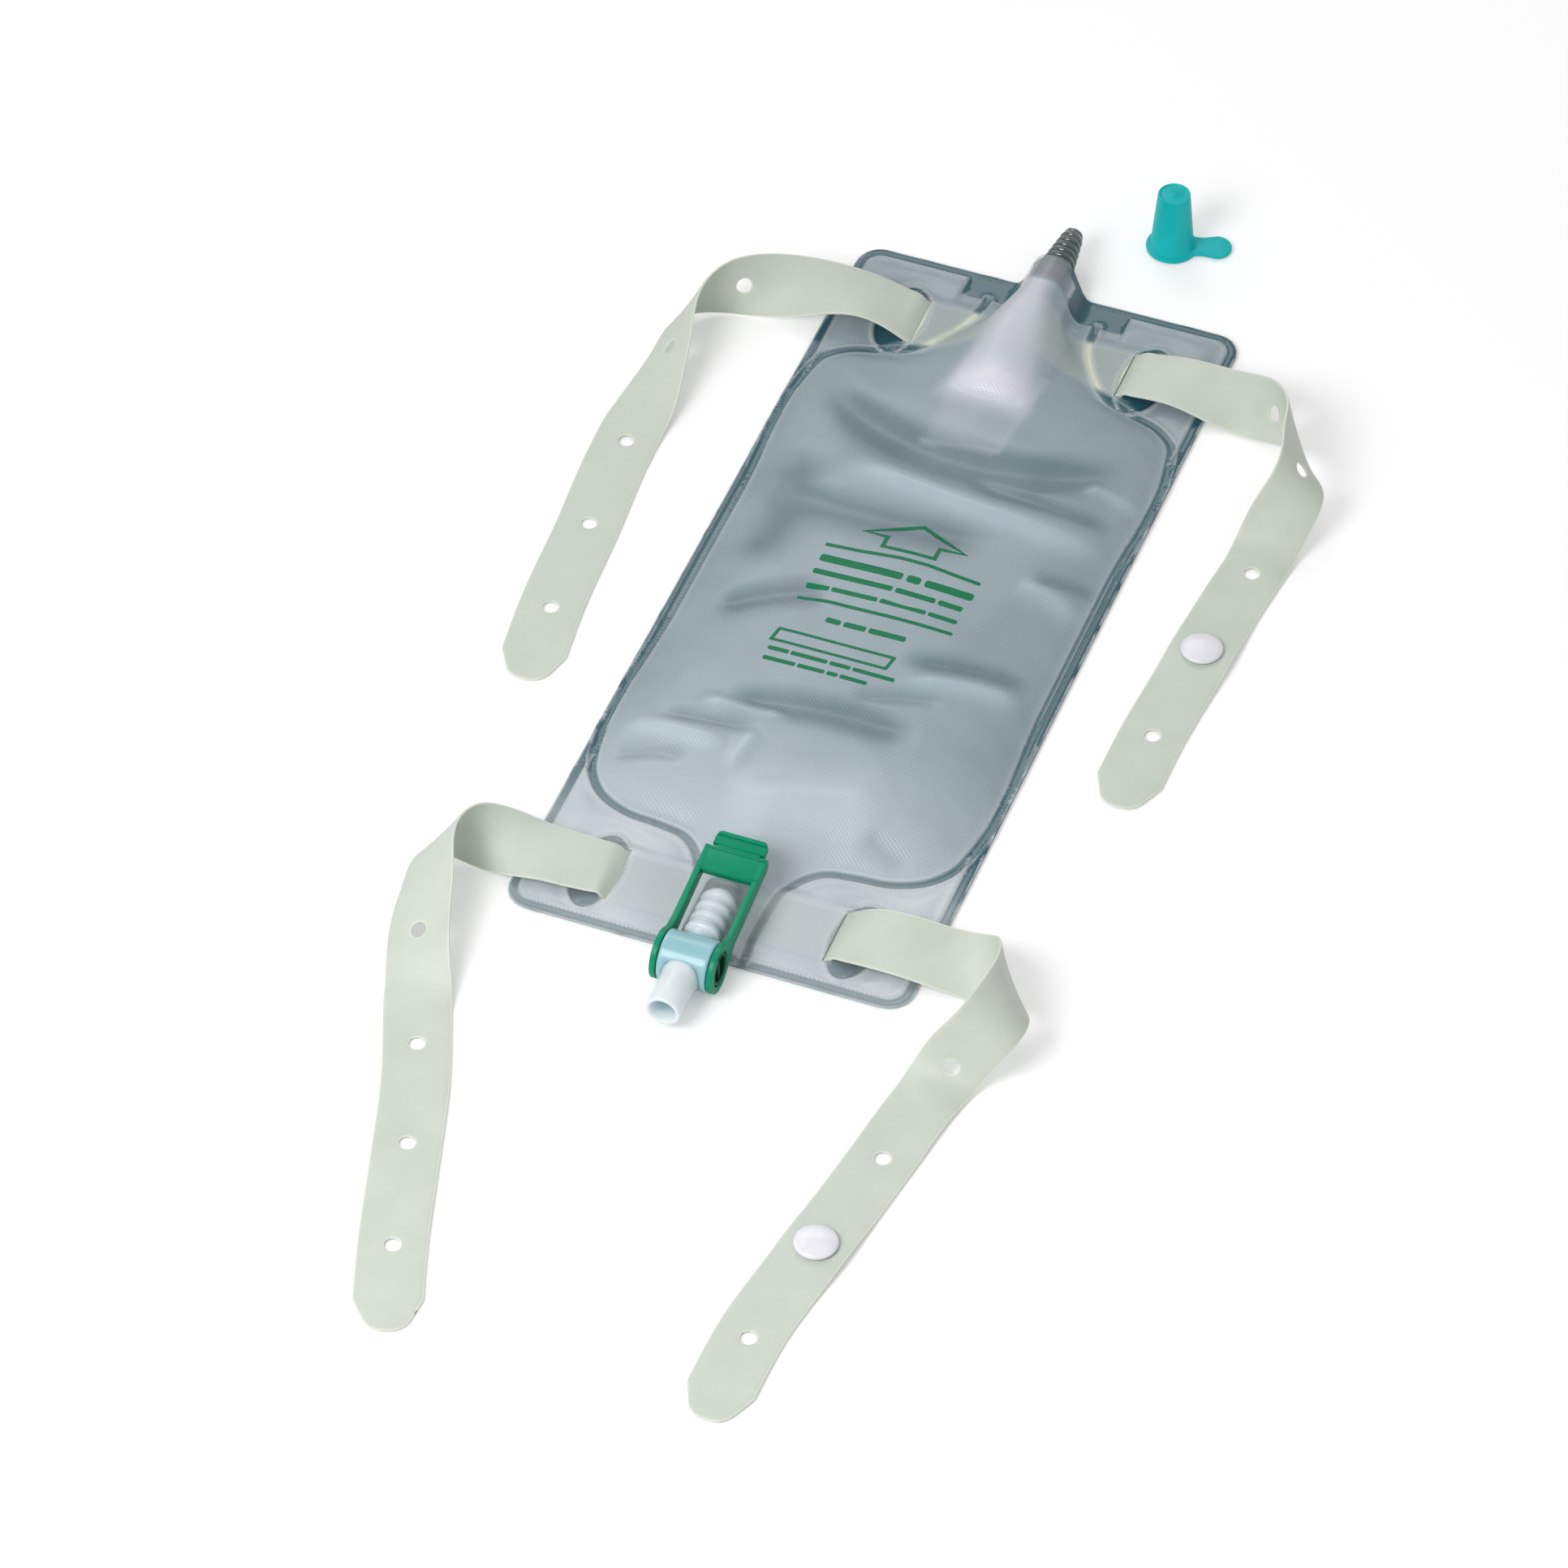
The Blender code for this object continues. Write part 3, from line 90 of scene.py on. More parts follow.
# Folds of the pouch film: start, end, bow, width above, width below, height
FOLDS = (
    (-62.0, 96.0, 62.0, 88.0, -22.0, 7.0, 10.0, -2.3),
    (-38.0, 57.0, 67.0, 47.0, -3.0, 4.5, 7.0, 1.7),
    (4.0, 62.0, 66.0, 63.0, -3.0, 3.0, 4.0, -1.1),
    (44.0, 75.0, 67.0, 73.0, 0.0, 3.0, 3.0, 0.8),
    (-58.0, 37.0, 32.0, 35.0, -3.0, 6.0, 9.0, -1.2),
    (40.0, 22.0, 67.0, 16.0, 1.0, 4.0, 5.0, 0.8),
    (43.0, 25.0, 67.0, 31.0, 1.0, 3.0, 3.5, -0.9),
    (-52.0, 64.0, -50.0, -4.0, 2.0, 9.0, 7.0, -1.1),
    (-54.0, -26.0, -16.0, -6.0, 2.0, 5.0, 6.0, -1.3),
    (16.0, -29.0, 63.0, -19.0, 1.0, 3.0, 4.0, -1.2),
    (20.0, -38.0, 63.0, -29.0, 1.0, 3.5, 5.0, 1.1),
    (6.0, -53.0, 38.0, -41.0, 1.0, 3.0, 3.0, -0.6),
    (-36.0, -67.0, 36.0, -61.0, 5.0, 4.0, 8.0, -1.7),
    (-42.0, -70.0, -6.0, -68.0, 1.0, 3.0, 4.0, 1.1),
    (-52.0, -78.0, -16.0, -76.0, 0.0, 3.0, 3.0, -1.0),
    (-63.0, -85.0, -20.0, -88.0, 1.0, 4.0, 4.5, 1.5),
    (-17.0, -76.0, -20.0, -98.0, 0.0, 3.0, 3.0, 0.9),
    (-62.0, -99.0, -33.0, -94.0, 1.0, 4.0, 4.0, -1.3),
    (-22.0, -110.0, 40.0, -94.0, 1.0, 9.0, 12.0, 1.5),
    (32.0, -105.0, 50.0, -113.0, 0.0, 4.0, 5.0, -1.1),
    (-58.0, -118.0, -18.0, -121.0, 1.0, 2.5, 2.5, -0.8),
)
SLIT_X = 39.2
SLIT_Y = (HALF_L - 32.5, 23.0 - HALF_L)
SLITS = [(sx, cy) for sx in (-1, 1) for cy in SLIT_Y]
SLIT_W = 3.15
SLIT_L = 24.0
RING_X = 45.0
RING_A = 8.8
RING_B = 17.3

# Straps
STRAP_LIE = 0.5
HOLE_PITCH = 42.6
HOLE_END = 35.0
TIP_TAPER = 12.5
BUTTON_D = 14.4
BUTTON_FOOT_D = 8.4
BUTTON_NECK_D = 4.9
BUTTON_FOOT_TOP = 1.05
HUMP_RISE = 1.5
HUMP_TOP = (41.6, 12.7)
HUMP_FOOT = (49.5, 16.4)
CLIMB = (
    (26.0, STRAP_LIE), (34.0, STRAP_LIE + 0.02), (37.2, STRAP_LIE + 0.15), (39.2, 1.95),
    (41.4, 3.75),
)
# Length of the short stiff pieces that a turn is worked out from
PLATE = 1.5
# Each turn of a strap: its length, the pitch, yaw and roll it leaves the slit with, its
# bend, twist and sideways drift in radians per mm at nine even places, and then its centre
# line where it lies flat, from the slit.
UPPER_LEFT = (
    136.0, (22.1, 0.7, -2.8),
    (0.0050, -0.0254, -0.0019, 0.0144, 0.0359, 0.0449, -0.0092, 0.0068, -0.0443),
    (0.0132, -0.0066, -0.0300, -0.0364, -0.0364, -0.0210, -0.0165, -0.0255, -0.0187),
    (-0.0067, -0.0079, -0.0053, -0.0021, -0.0007, -0.0003, -0.0035, -0.0042, 0.0002),
    ((-72.9, -99.1), (-69.7, -136.5), (-67.1, -173.9), (-62.1, -211.1)),
)
UPPER_RIGHT = (
    141.2, (9.4, -3.0, 1.6),
    (-0.0131, 0.0267, -0.0290, -0.0222, -0.0352, 0.0157, -0.1053, 0.0557, 0.0500),
    (0.0029, 0.0077, 0.0290, 0.0366, 0.0129, 0.0179, 0.0309, 0.0242, 0.0091),
    (-0.0029, -0.0025, -0.0014, -0.0020, -0.0061, -0.0086, -0.0100, -0.0048, -0.0035),
    ((69.4, -89.7), (67.0, -125.3), (64.5, -161.0), (64.2, -196.6)),
)
LOWER_LEFT = (
    124.0, (3.7, 3.4, -0.9),
    (0.0009, 0.0074, -0.0064, 0.0662, 0.0690, -0.0135, 0.0198, 0.0164, -0.0875),
    (-0.0081, -0.0024, -0.0428, -0.0533, -0.0187, -0.0165, -0.0098, -0.0094, -0.0355),
    (-0.0046, -0.0019, 0.0016, 0.0009, -0.0011, -0.0026, -0.0015, 0.0026, 0.0027),
    ((-26.1, -106.3), (-16.0, -139.3), (-6.1, -172.3), (5.3, -204.9)),
)
LOWER_RIGHT = (
    130.5, (24.4, -3.6, 2.1),
    (0.0271, 0.0208, -0.0081, -0.0590, -0.0250, -0.0437, -0.0999, 0.0854, 0.0361),
    (0.0246, 0.0030, 0.0036, 0.0476, 0.0224, 0.0207, -0.0027, 0.0319, 0.0171),
    (-0.0011, -0.0002, -0.0001, -0.0014, -0.0033, -0.0068, -0.0105, -0.0120, -0.0120),
    ((45.9, -84.2), (39.9, -123.6), (33.4, -163.0), (32.4, -202.7)),
)

# Inlet and reflux valve
INLET_Z = 9.3
SLEEVE_OD = 15.6
SLEEVE_Y = (HALF_L - 13.5, HALF_L + 0.5)
CONNECTOR_FIT_D = 13.0
CONNECTOR_BORE = 5.4
CONNECTOR_Y = (SLEEVE_Y[0] - 1.4, SLEEVE_Y[1] + 20.5)
CONNECTOR_TIP_D = 7.6
CONNECTOR_RIBS = 6
CONNECTOR_TILT = 2.0
REFLUX_Y = (SLEEVE_Y[0] - 1.0, SLEEVE_Y[0] - 77.0)
REFLUX_MOUTH = (30.0, 2.2)
REFLUX_MOUTH_Z = 5.2
REFLUX_T = 0.4

# Outlet valve, about its turning axis
VALVE_Y = -HALF_L - 10.0
VALVE_Z = 9.0
BARREL_D = 17.4
BARREL_LEN = 17.0
ROTOR_D = 11.4
NOZZLE_D = 12.0
NOZZLE_BORE = 9.0
NOZZLE_REACH = 24.0
STEM_RING_D = 13.0
STEM_CORE_D = 10.8
STEM_BORE = 7.6
STEM_FOOT = BARREL_D / 2 + 1.1
STEM_REACH = 29.0
STEM_RINGS = 4
STEM_INTO_BAG = VALVE_Y + STEM_REACH
EAR_D = 17.0
EAR_T = 2.1
ARM_DEPTH = 6.0
LEVER_REACH = 50.0
PLATE_Y = (33.7, 43.5)
PLATE_T = 2.8
TAB_W = 18.0
NECK_W = 16.4
LEVER_TILT = 8.0

# Cap
CAP_AT = (30.8, HALF_L + 38.5)
CAP_TAB_DIR = 16.2
CAP_H = 25.0
CAP_TOP_D = 11.5
CAP_BASE_D = 15.4
CAP_FLANGE_D = 18.4
CAP_FLANGE_T = 1.4
CAP_WALL = 1.3
CAP_TAB_REACH = 15.8
CAP_TAB_W = 11.0


def linear(hex_text):
    """Linear colour of an sRGB hex value."""
    parts = [int(hex_text[i:i + 2], 16) / 255 for i in (1, 3, 5)]
    return tuple(c / 12.92 if c <= 0.04045 else ((c + 0.055) / 1.055) ** 2.4 for c in parts)


def colour(label, about, hex_text):
    """A colour a user may change, kept in linear values."""
    return bpy.props.FloatVectorProperty(
        name=label, description=about, subtype="COLOR", size=3, min=0.0, max=1.0,
        default=linear(hex_text),
    )


def number(label, about, default, **limits):
    """A plain number a user may change."""
    return bpy.props.FloatProperty(name=label, description=about, default=default, **limits)


def length(label, about, default):
    """A length a user may change, in metres."""
    return number(label, about, default, min=0.0, unit="LENGTH", precision=5)


def share(label, about, default):
    """A plain factor a user may change."""
    return number(label, about, default, min=0.0, max=4.0, subtype="FACTOR")


class FilmSettings(bpy.types.PropertyGroup):
    pouch_rise: length("Pouch rise", "Height of the front film above its welds", 0.0105)
    fold_strength: share("Fold strength", "How deep the soft folds of the pouch are", 1.45)
    linen_pitch: length("Linen pitch", "Distance between the threads of the emboss", 0.0011)
    pouch_tint: colour("Pouch film", "Frosted film over the pouch", "#7E99A3")
    # Painted highlight on the crests of the folds; their valleys get painted shade, a darker copy
    # of the pouch film
    painted_crest_highlight: colour("Crests", "Film on the crest of a fold, where it is lit", "#BCCED7")
    upper_tint: colour("Upper tabs", "Two films lying together by the inlet", "#90A5B0")
    # Painted sheen that makes the lower pouch and the lower tabs paler
    painted_lower_sheen_tint: colour("Lower film", "Paler film by the outlet and on the lower tabs", "#D6DFE4")
    weld_tint: colour("Weld", "Clear glassy band where the films are welded", "#2C5964")
    strap_tint: colour("Strap behind", "Latex strap seen through the films", "#CDD3BE")
    # Pale sleeve seen through the film, which also carries the painted highlight on the cone under
    # the inlet
    sleeve_and_cone_highlight_tint: colour("Sleeve behind", "Pale sleeve lying against the front film", "#EDECF5")
    reflux_tint: colour("Reflux valve", "Thin sleeve inside the pouch", "#D9CBDA")


class StrapSettings(bpy.types.PropertyGroup):
    width: length("Width", "Width of the strap", 0.0222)
    thickness: length("Thickness", "Thickness of the strap", 0.0009)
    hole: length("Hole", "Diameter of the punched holes", 0.0055)
    latex: colour("Latex", "Cured latex sheet", "#CCD4C8")
    # Painted highlight along the cut edges of the straps
    cut_edge_highlight: colour("Cut edge", "Paler edge where the sheet was cut", "#E4E9DC")
    button: colour("Button", "Glossy white button", "#E9E9EF")


class PrintSettings(bpy.types.PropertyGroup):
    line: length("Line", "Width of the lines that draw the arrow and rules", 0.0015)
    ink: colour("Ink", "Green screen ink", "#00734A")


class InletSettings(bpy.types.PropertyGroup):
    sleeve: colour("Sleeve", "Soft clear tube", "#B4ADAF")
    connector: colour("Connector", "Smoky clear connector", "#42524F")
    cap: colour("Cap", "Teal cap", "#0ABABD")


class ValveSettings(bpy.types.PropertyGroup):
    lever: colour("Lever", "Green lever", "#008D66")
    rotor: colour("Rotor", "Dark green plug", "#044A34")
    body: colour("Valve body", "Milky plastic of the nozzle and stem", "#E0EAEE")
    barrel: colour("Barrel", "Tint where the green plug shows through", "#82BDC6")


class StageSettings(bpy.types.PropertyGroup):
    floor: colour("Floor", "Pale floor", "#F4F4F4")
    key: number("Softbox", "Power of the softbox by the outlet", 9.5, unit="POWER")
    fill: number("Fill", "Power of the light behind the inlet", 7.0, unit="POWER")
    sky: share("Room light", "Even light from all sides", 0.55)


# Small maths
def smooth(t):
    """Ease from 0 at t = 0 to 1 at t = 1."""
    t = np.clip(t, 0.0, 1.0)
    return t * t * (3.0 - 2.0 * t)


def soft_max(a, b, k=0.2):
    """The higher of two surfaces, with a small blend where they cross."""
    return 0.5 * (a + b + np.sqrt((a - b) ** 2 + k * k)) - 0.5 * k


def spline(points, per_span):
    """Smooth curve through unevenly spaced points, with set steps in each span."""
    p = np.array(points, float)
    span = np.maximum(np.linalg.norm(np.diff(p, axis=0), axis=1), 1e-6)[:, None]
    slope = np.diff(p, axis=0) / span
    inner = (slope[:-1] * span[1:] + slope[1:] * span[:-1]) / (span[1:] + span[:-1])
    tangents = np.vstack([slope[:1], inner, slope[-1:]])
    out = []
    for i in range(len(p) - 1):
        for j in range(per_span):
            t = j / per_span
            ends = (2 * t**3 - 3 * t**2 + 1) * p[i] + (3 * t**2 - 2 * t**3) * p[i + 1]
            pull = (t**3 - 2 * t**2 + t) * tangents[i] + (t**3 - t**2) * tangents[i + 1]
            out.append(ends + pull * span[i])
    out.append(p[-1])
    return np.array(out)


def segment_distance(x, y, line):
    """Distance from each point to an open line of straight pieces."""
    best = np.full(len(x), 1e6)
    for (ax, ay), (bx, by) in zip(line[:-1], line[1:]):
        dx, dy = bx - ax, by - ay
        t = np.clip(((x - ax) * dx + (y - ay) * dy) / (dx * dx + dy * dy), 0.0, 1.0)
        best = np.minimum(best, np.hypot(x - ax - t * dx, y - ay - t * dy))
    return best


def inside(x, y, ring):
    """Which points lie inside a closed outline."""
    hit = np.zeros(len(x), bool)
    for (ax, ay), (bx, by) in zip(ring, np.roll(ring, -1, axis=0)):
        if ay == by:
            continue
        cross = ax + (y - ay) * (bx - ax) / (by - ay)
        hit ^= ((ay > y) != (by > y)) & (x < cross)
    return hit


def ripple(x, y, size):
    """Uneven waves of a rough size, between -1 and 1."""
    u, v = x / size, y / size
    a = np.sin(u + 1.3 * np.sin(0.7 * v + 0.4))
    b = np.sin(1.3 * v + 1.7 * np.sin(0.6 * u) + 2.0)
    c = np.sin(0.77 * (u + v) + 0.5 + np.sin(0.41 * (u - v)))
    return (a + b + c) / 3.0


# Meshes
def turned(profile, sides, matrix=None):
    """A profile of (radius, height) turned about Z; radius 0 becomes a single pole."""
    points, rows = [], []
    for radius, height in profile:
        if radius < 1e-6:
            rows.append([len(points)])
            points.append((0.0, 0.0, height))
        else:
            rows.append(list(range(len(points), len(points) + sides)))
            for i in range(sides):
                a = 2 * math.pi * i / sides
                points.append((radius * math.cos(a), radius * math.sin(a), height))
    faces = []
    closed = profile[0][0] > 1e-6
    pairs = list(zip(rows, rows[1:] + rows[:1])) if closed else list(zip(rows, rows[1:]))
    for low, high in pairs:
        for i in range(sides):
            j = (i + 1) % sides
            if len(low) == 1:
                faces.append((low[0], high[i], high[j]))
            elif len(high) == 1:
                faces.append((low[i], low[j], high[0]))
            else:
                faces.append((low[i], low[j], high[j], high[i]))
    return moved((np.array(points), faces), matrix)


def moved(part, matrix):
    """The same part after a 4 by 4 change of place."""
    points, faces = part
    if matrix is None:
        return part
    m = np.array(matrix)
    return points @ m[:3, :3].T + m[:3, 3], faces


def together(*parts):
    """Several parts as one."""
    points, faces, start = [], [], 0
    for p, f in parts:
        points.append(p)
        faces += [tuple(i + start for i in face) for face in f]
        start += len(p)
    return np.vstack(points), faces


def inset(ring, amount):
    """A closed outline moved towards its inside, its corners kept."""
    ring = np.array(ring, float)
    before = ring - np.roll(ring, 1, axis=0)
    after = np.roll(ring, -1, axis=0) - ring
    x, y = ring[:, 0], ring[:, 1]
    area = 0.5 * np.sum(x * np.roll(y, -1) - np.roll(x, -1) * y)
    sign = 1.0 if area > 0 else -1.0
    n1 = np.stack([-before[:, 1], before[:, 0]], 1)
    n2 = np.stack([-after[:, 1], after[:, 0]], 1)
    n1 /= np.linalg.norm(n1, axis=1)[:, None]
    n2 /= np.linalg.norm(n2, axis=1)[:, None]
    both = n1 + n2
    both /= np.maximum(1.0 + (n1 * n2).sum(1), 0.35)[:, None]
    return ring + sign * amount * both


def flat_triangles(rings, extra, keep):
    """Triangles over closed rings and loose points, where keep says so."""
    lines, count = [], 0
    for ring in rings:
        n = len(ring)
        lines += [(count + i, count + (i + 1) % n) for i in range(n)]
        count += n
    flat = np.vstack(list(rings) + ([extra] if len(extra) else []))
    coords = [Vector((float(x), float(y))) for x, y in flat]
    found, _, tris, *_ = delaunay_2d_cdt(coords, lines, [], 0, 1e-4)
    flat = np.array([(v.x, v.y) for v in found])
    tris = np.array([tuple(t) for t in tris])
    middle = flat[tris].mean(1)
    tris = tris[keep(middle[:, 0], middle[:, 1])]
    used, tris = np.unique(tris, return_inverse=True)
    tris = tris.reshape(-1, 3)
    flat = flat[used]
    a, b, c = flat[tris[:, 0]], flat[tris[:, 1]], flat[tris[:, 2]]
    area = (b[:, 0] - a[:, 0]) * (c[:, 1] - a[:, 1]) - (c[:, 0] - a[:, 0]) * (b[:, 1] - a[:, 1])
    tris[area < 0] = tris[area < 0][:, ::-1]
    return flat, tris


def plate(outline, low, high, round_edge, holes=()):
    """A flat moulding with rounded rims, from its outline and holes."""
    rings = [(np.array(outline, float), 1.0)] + [(np.array(h, float), -1.0) for h in holes]
    points, faces, count = [], [], 0
    turns = [math.radians(a) for a in (0, 30, 60, 90)]
    for ring, sign in rings:
        levels = [(round_edge * (1 - math.sin(a)), low + round_edge * (1 - math.cos(a)))
                  for a in turns]
        levels += [(d, low + high - z) for d, z in levels[::-1]]
        n = len(ring)
        for d, z in levels:
            line = inset(ring, d * sign)
            points.append(np.column_stack([line, np.full(n, z)]))
        for k in range(len(levels) - 1):
            base = count + k * n
            faces += [(base + i, base + (i + 1) % n, base + n + (i + 1) % n, base + n + i)
                      for i in range(n)]
        count += n * len(levels)
    caps = [inset(ring, round_edge * sign) for ring, sign in rings]

    def keep(x, y):
        ok = inside(x, y, caps[0])
        for cap in caps[1:]:
            ok &= ~inside(x, y, cap)
        return ok

    flat, tris = flat_triangles(caps, [], keep)
    for z in (low, high):
        points.append(np.column_stack([flat, np.full(len(flat), z)]))
        faces += [tuple(int(i) + count for i in t) for t in tris]
        count += len(flat)
    return np.vstack(points), faces


def box_plate(xs, ys, zs, round_edge):
    """A rounded bar between pairs of limits."""
    outline = [(xs[0], ys[0]), (xs[1], ys[0]), (xs[1], ys[1]), (xs[0], ys[1])]
    return plate(outline, zs[0], zs[1], round_edge)


# Takes a part drawn in YZ with its thickness along Z to its place along X
SIDEWAYS = Matrix(((0, 0, 1, 0), (1, 0, 0, 0), (0, 1, 0, 0), (0, 0, 0, 1)))


def add_piece(name, part, looks, nodes=(), body="bag", sharp=32.0, look_of=None,
              marks=None, closed=True):
    """Link a piece of the bag, let it ride on its body and stand for its solids."""
    points, faces = part
    mesh = bpy.data.meshes.new(name)
    mesh.from_pydata([tuple(p) for p in np.asarray(points, float) * MM], [],
                     [tuple(int(i) for i in f) for f in faces])
    for look in looks:
        mesh.materials.append(look)
    if look_of is not None:
        mesh.polygons.foreach_set("material_index", np.asarray(look_of, np.int32))
    for mark, values in (marks or {}).items():
        layer = mesh.attributes.new(mark, "FLOAT", "POINT")
        layer.data.foreach_set("value", np.asarray(values, np.float32))
    if closed:
        work = bmesh.new()
        work.from_mesh(mesh)
        bmesh.ops.remove_doubles(work, verts=work.verts, dist=2e-6)
        bmesh.ops.recalc_face_normals(work, faces=work.faces)
        work.to_mesh(mesh)
        work.free()
    mesh.shade_smooth()
    mesh.set_sharp_from_angle(angle=math.radians(sharp))
    thing = bpy.data.objects.new(name, mesh)
    bpy.context.scene.collection.objects.link(thing)
    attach(thing, body)
    if nodes:
        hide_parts(*nodes)
    return thing


# Materials
def feed(tree, node, key, source):
    """Set an input of a node to a plain value, or link it to the socket that drives it."""
    if isinstance(source, bpy.types.NodeSocket):
        tree.links.new(source, node.inputs[key])
    else:
        node.inputs[key].default_value = source


def add_node(tree, kind, inputs=(), out=0, **settings):
    """Add a shader node with its settings and inputs, and return one of its outputs."""
    node = tree.nodes.new(kind)
    for key, value in settings.items():
        setattr(node, key, value)
    for key, source in dict(inputs).items():
        feed(tree, node, key, source)
    return node.outputs[out]


def rgba(values):
    """A colour with full opacity for a socket; a socket stays as it is."""
    return values if isinstance(values, bpy.types.NodeSocket) else (*values[:3], 1.0)


def scaled(values, factor):
    """A lighter or darker version of a colour."""
    return tuple(min(1.0, c * factor) for c in values[:3])


def blend(tree, part, low, high):
    """A colour between two others."""
    return add_node(tree, "ShaderNodeMix", {0: part, 6: rgba(low), 7: rgba(high)}, 2,
                    data_type="RGBA")


def level(tree, part, low, high):
    """A number between two others."""
    return add_node(tree, "ShaderNodeMix", {0: part, 2: low, 3: high}, data_type="FLOAT")


def spread(tree, source, low, high):
    """A pattern from 0 to 1 brought between two numbers."""
    return add_node(tree, "ShaderNodeMapRange", {0: source, 3: low, 4: high})


def maths(tree, operation, *sources):
    """Result of some arithmetic on numbers and sockets."""
    return add_node(tree, "ShaderNodeMath", enumerate(sources), operation=operation)


def noise(tree, scale, detail):
    """Cloudy pattern that keeps its place on the object."""
    place = add_node(tree, "ShaderNodeTexCoord", out="Object")
    return add_node(tree, "ShaderNodeTexNoise",
                    {"Scale": scale, "Detail": detail, "Vector": place}, "Fac")


def mark(tree, name):
    """Values kept on the mesh under a name."""
    return add_node(tree, "ShaderNodeAttribute", out="Fac", attribute_name=name)


def relief(tree, strength, distance, height, **under):
    """Bump of a pattern, on its own or over another bump."""
    return add_node(tree, "ShaderNodeBump",
                    {"Strength": strength, "Distance": distance, "Height": height, **under})


def mottle(tree, shader, tint, tones, rough, bump, cloud, grain=None, over=None):
    """Uneven tone and shine from a cloud, a fine bump, and the colour of a mark over them."""
    tone = blend(tree, cloud, scaled(tint, tones[0]), scaled(tint, tones[1]))
    if over:
        tone = blend(tree, mark(tree, over[0]), tone, over[1])
    feed(tree, shader, "Base Color", tone)
    feed(tree, shader, "Roughness", spread(tree, cloud, *rough))
    feed(tree, shader, "Normal", relief(tree, *bump, cloud if grain is None else grain))


def new_surface(name, **sockets):
    """An empty material with a Principled shader set from plain sockets."""
    look = bpy.data.materials.new(name)
    look.use_nodes = True
    shader = look.node_tree.nodes["Principled BSDF"]
    for key, value in sockets.items():
        shader.inputs[key.replace("_", " ")].default_value = value
    return look, look.node_tree, shader


def film_surface(name, settings, tint, alpha, roughness, emboss):
    """Plasticised PVC film, calendered and frosted: satin, faintly blotchy, linen embossed."""
    look, tree, shader = new_surface(name, IOR=1.53, Coat_Roughness=0.24)
    weld, flash_and_painted_highlight, painted_fold_shade, painted_lower_sheen, strap, sleeve, clear = (
        mark(tree, key)
        for key in ("weld", "flash_and_painted_highlight", "painted_fold_shade", "painted_lower_sheen", "strap", "sleeve", "clear"))
    # 25 mm clouds where the film rests on the one below
    cloud, grain = noise(tree, 40.0, 3.0), noise(tree, 900.0, 2.0)
    # Painted shade in the fold valleys and painted highlight on their crests, mixed with a little
    # of the cloud
    layer = blend(tree, level(tree, 0.3, painted_fold_shade, cloud), settings.painted_crest_highlight, scaled(tint, 0.6))
    # What shows in the film, one over the other: painted sheen of the lower film, strap, sleeve
    # with the painted cone highlight, weld, flash with painted highlights
    for part, over in (
        (painted_lower_sheen, settings.painted_lower_sheen_tint), (maths(tree, "MULTIPLY", strap, 0.3), settings.strap_tint),
        (sleeve, settings.sleeve_and_cone_highlight_tint),
        (weld, blend(tree, strap, settings.weld_tint, settings.strap_tint)),
        (flash_and_painted_highlight, linear("#D5DCDF")),
    ):
        layer = blend(tree, part, layer, over)
    feed(tree, shader, "Base Color", layer)
    feed(tree, shader, "Alpha", maths(tree, "MAXIMUM", level(tree, clear, alpha, 0.22), weld))
    rough = spread(tree, cloud, roughness, roughness + 0.08)
    feed(tree, shader, "Roughness", level(tree, weld, rough, 0.2))
    feed(tree, shader, "Coat Weight", spread(tree, weld, 0.5, 0.03))
    # A wave repeats every 0.314 / scale metres; the linen lies askew and leaves the welds flat
    turn = add_node(tree, "ShaderNodeMapping",
                    {"Rotation": (0.0, 0.0, math.radians(38.0)),
                     "Vector": add_node(tree, "ShaderNodeTexCoord", out="Object")})
    waves = [add_node(tree, "ShaderNodeTexWave",
                      {"Scale": 0.314 / settings.linen_pitch, "Distortion": 1.2, "Detail": 1.0,
                       "Detail Scale": 0.4, "Vector": turn}, "Fac", bands_direction=way)
             for way in ("X", "Y")]
    thread = maths(tree, "MULTIPLY", maths(tree, "ADD", *waves),
                   maths(tree, "SUBTRACT", 1.0, weld))
    first = relief(tree, 0.35, emboss, thread)
    feed(tree, shader, "Normal", relief(tree, 0.3, 0.00005, grain, Normal=first))
    return look


def moulded_surface(name, tint, roughness, grain_mm, **sockets):
    """Injection moulded plastic: even colour, fine orange peel and soft handling wear."""
    look, tree, shader = new_surface(name, IOR=1.49, **sockets)
    mottle(tree, shader, tint, (0.9, 1.1), (roughness - 0.04, roughness + 0.08),
           (0.15, 0.00005), noise(tree, 160.0, 2.0), noise(tree, 1.0 / (grain_mm * MM), 2.0))
    return look


def latex_surface(name, tint, cut_edge_highlight):
    """Natural latex, cast as a sheet and dusted: matt, waxy, faintly mottled, with a painted
    highlight on its cut edges.
    """
    look, tree, shader = new_surface(name, IOR=1.52)
    dusted = maths(tree, "MULTIPLY_ADD", noise(tree, 700.0, 3.0), 0.35, noise(tree, 55.0, 4.0))
    cloud = add_node(tree, "ShaderNodeMapRange", {0: dusted, 1: 0.4, 2: 0.95})
    mottle(tree, shader, tint, (0.93, 1.05), (0.42, 0.58), (0.25, 0.00008), cloud, dusted,
           ("cut", cut_edge_highlight))
    return look


# Bag outline, welds and height of the films
def corner_arc(cx, cy, radius, start, steps):
    """Points of a quarter circle."""
    turns = np.radians(start + 90.0 * np.arange(steps + 1) / steps)
    return [(cx + radius * math.cos(a), cy + radius * math.sin(a)) for a in turns]


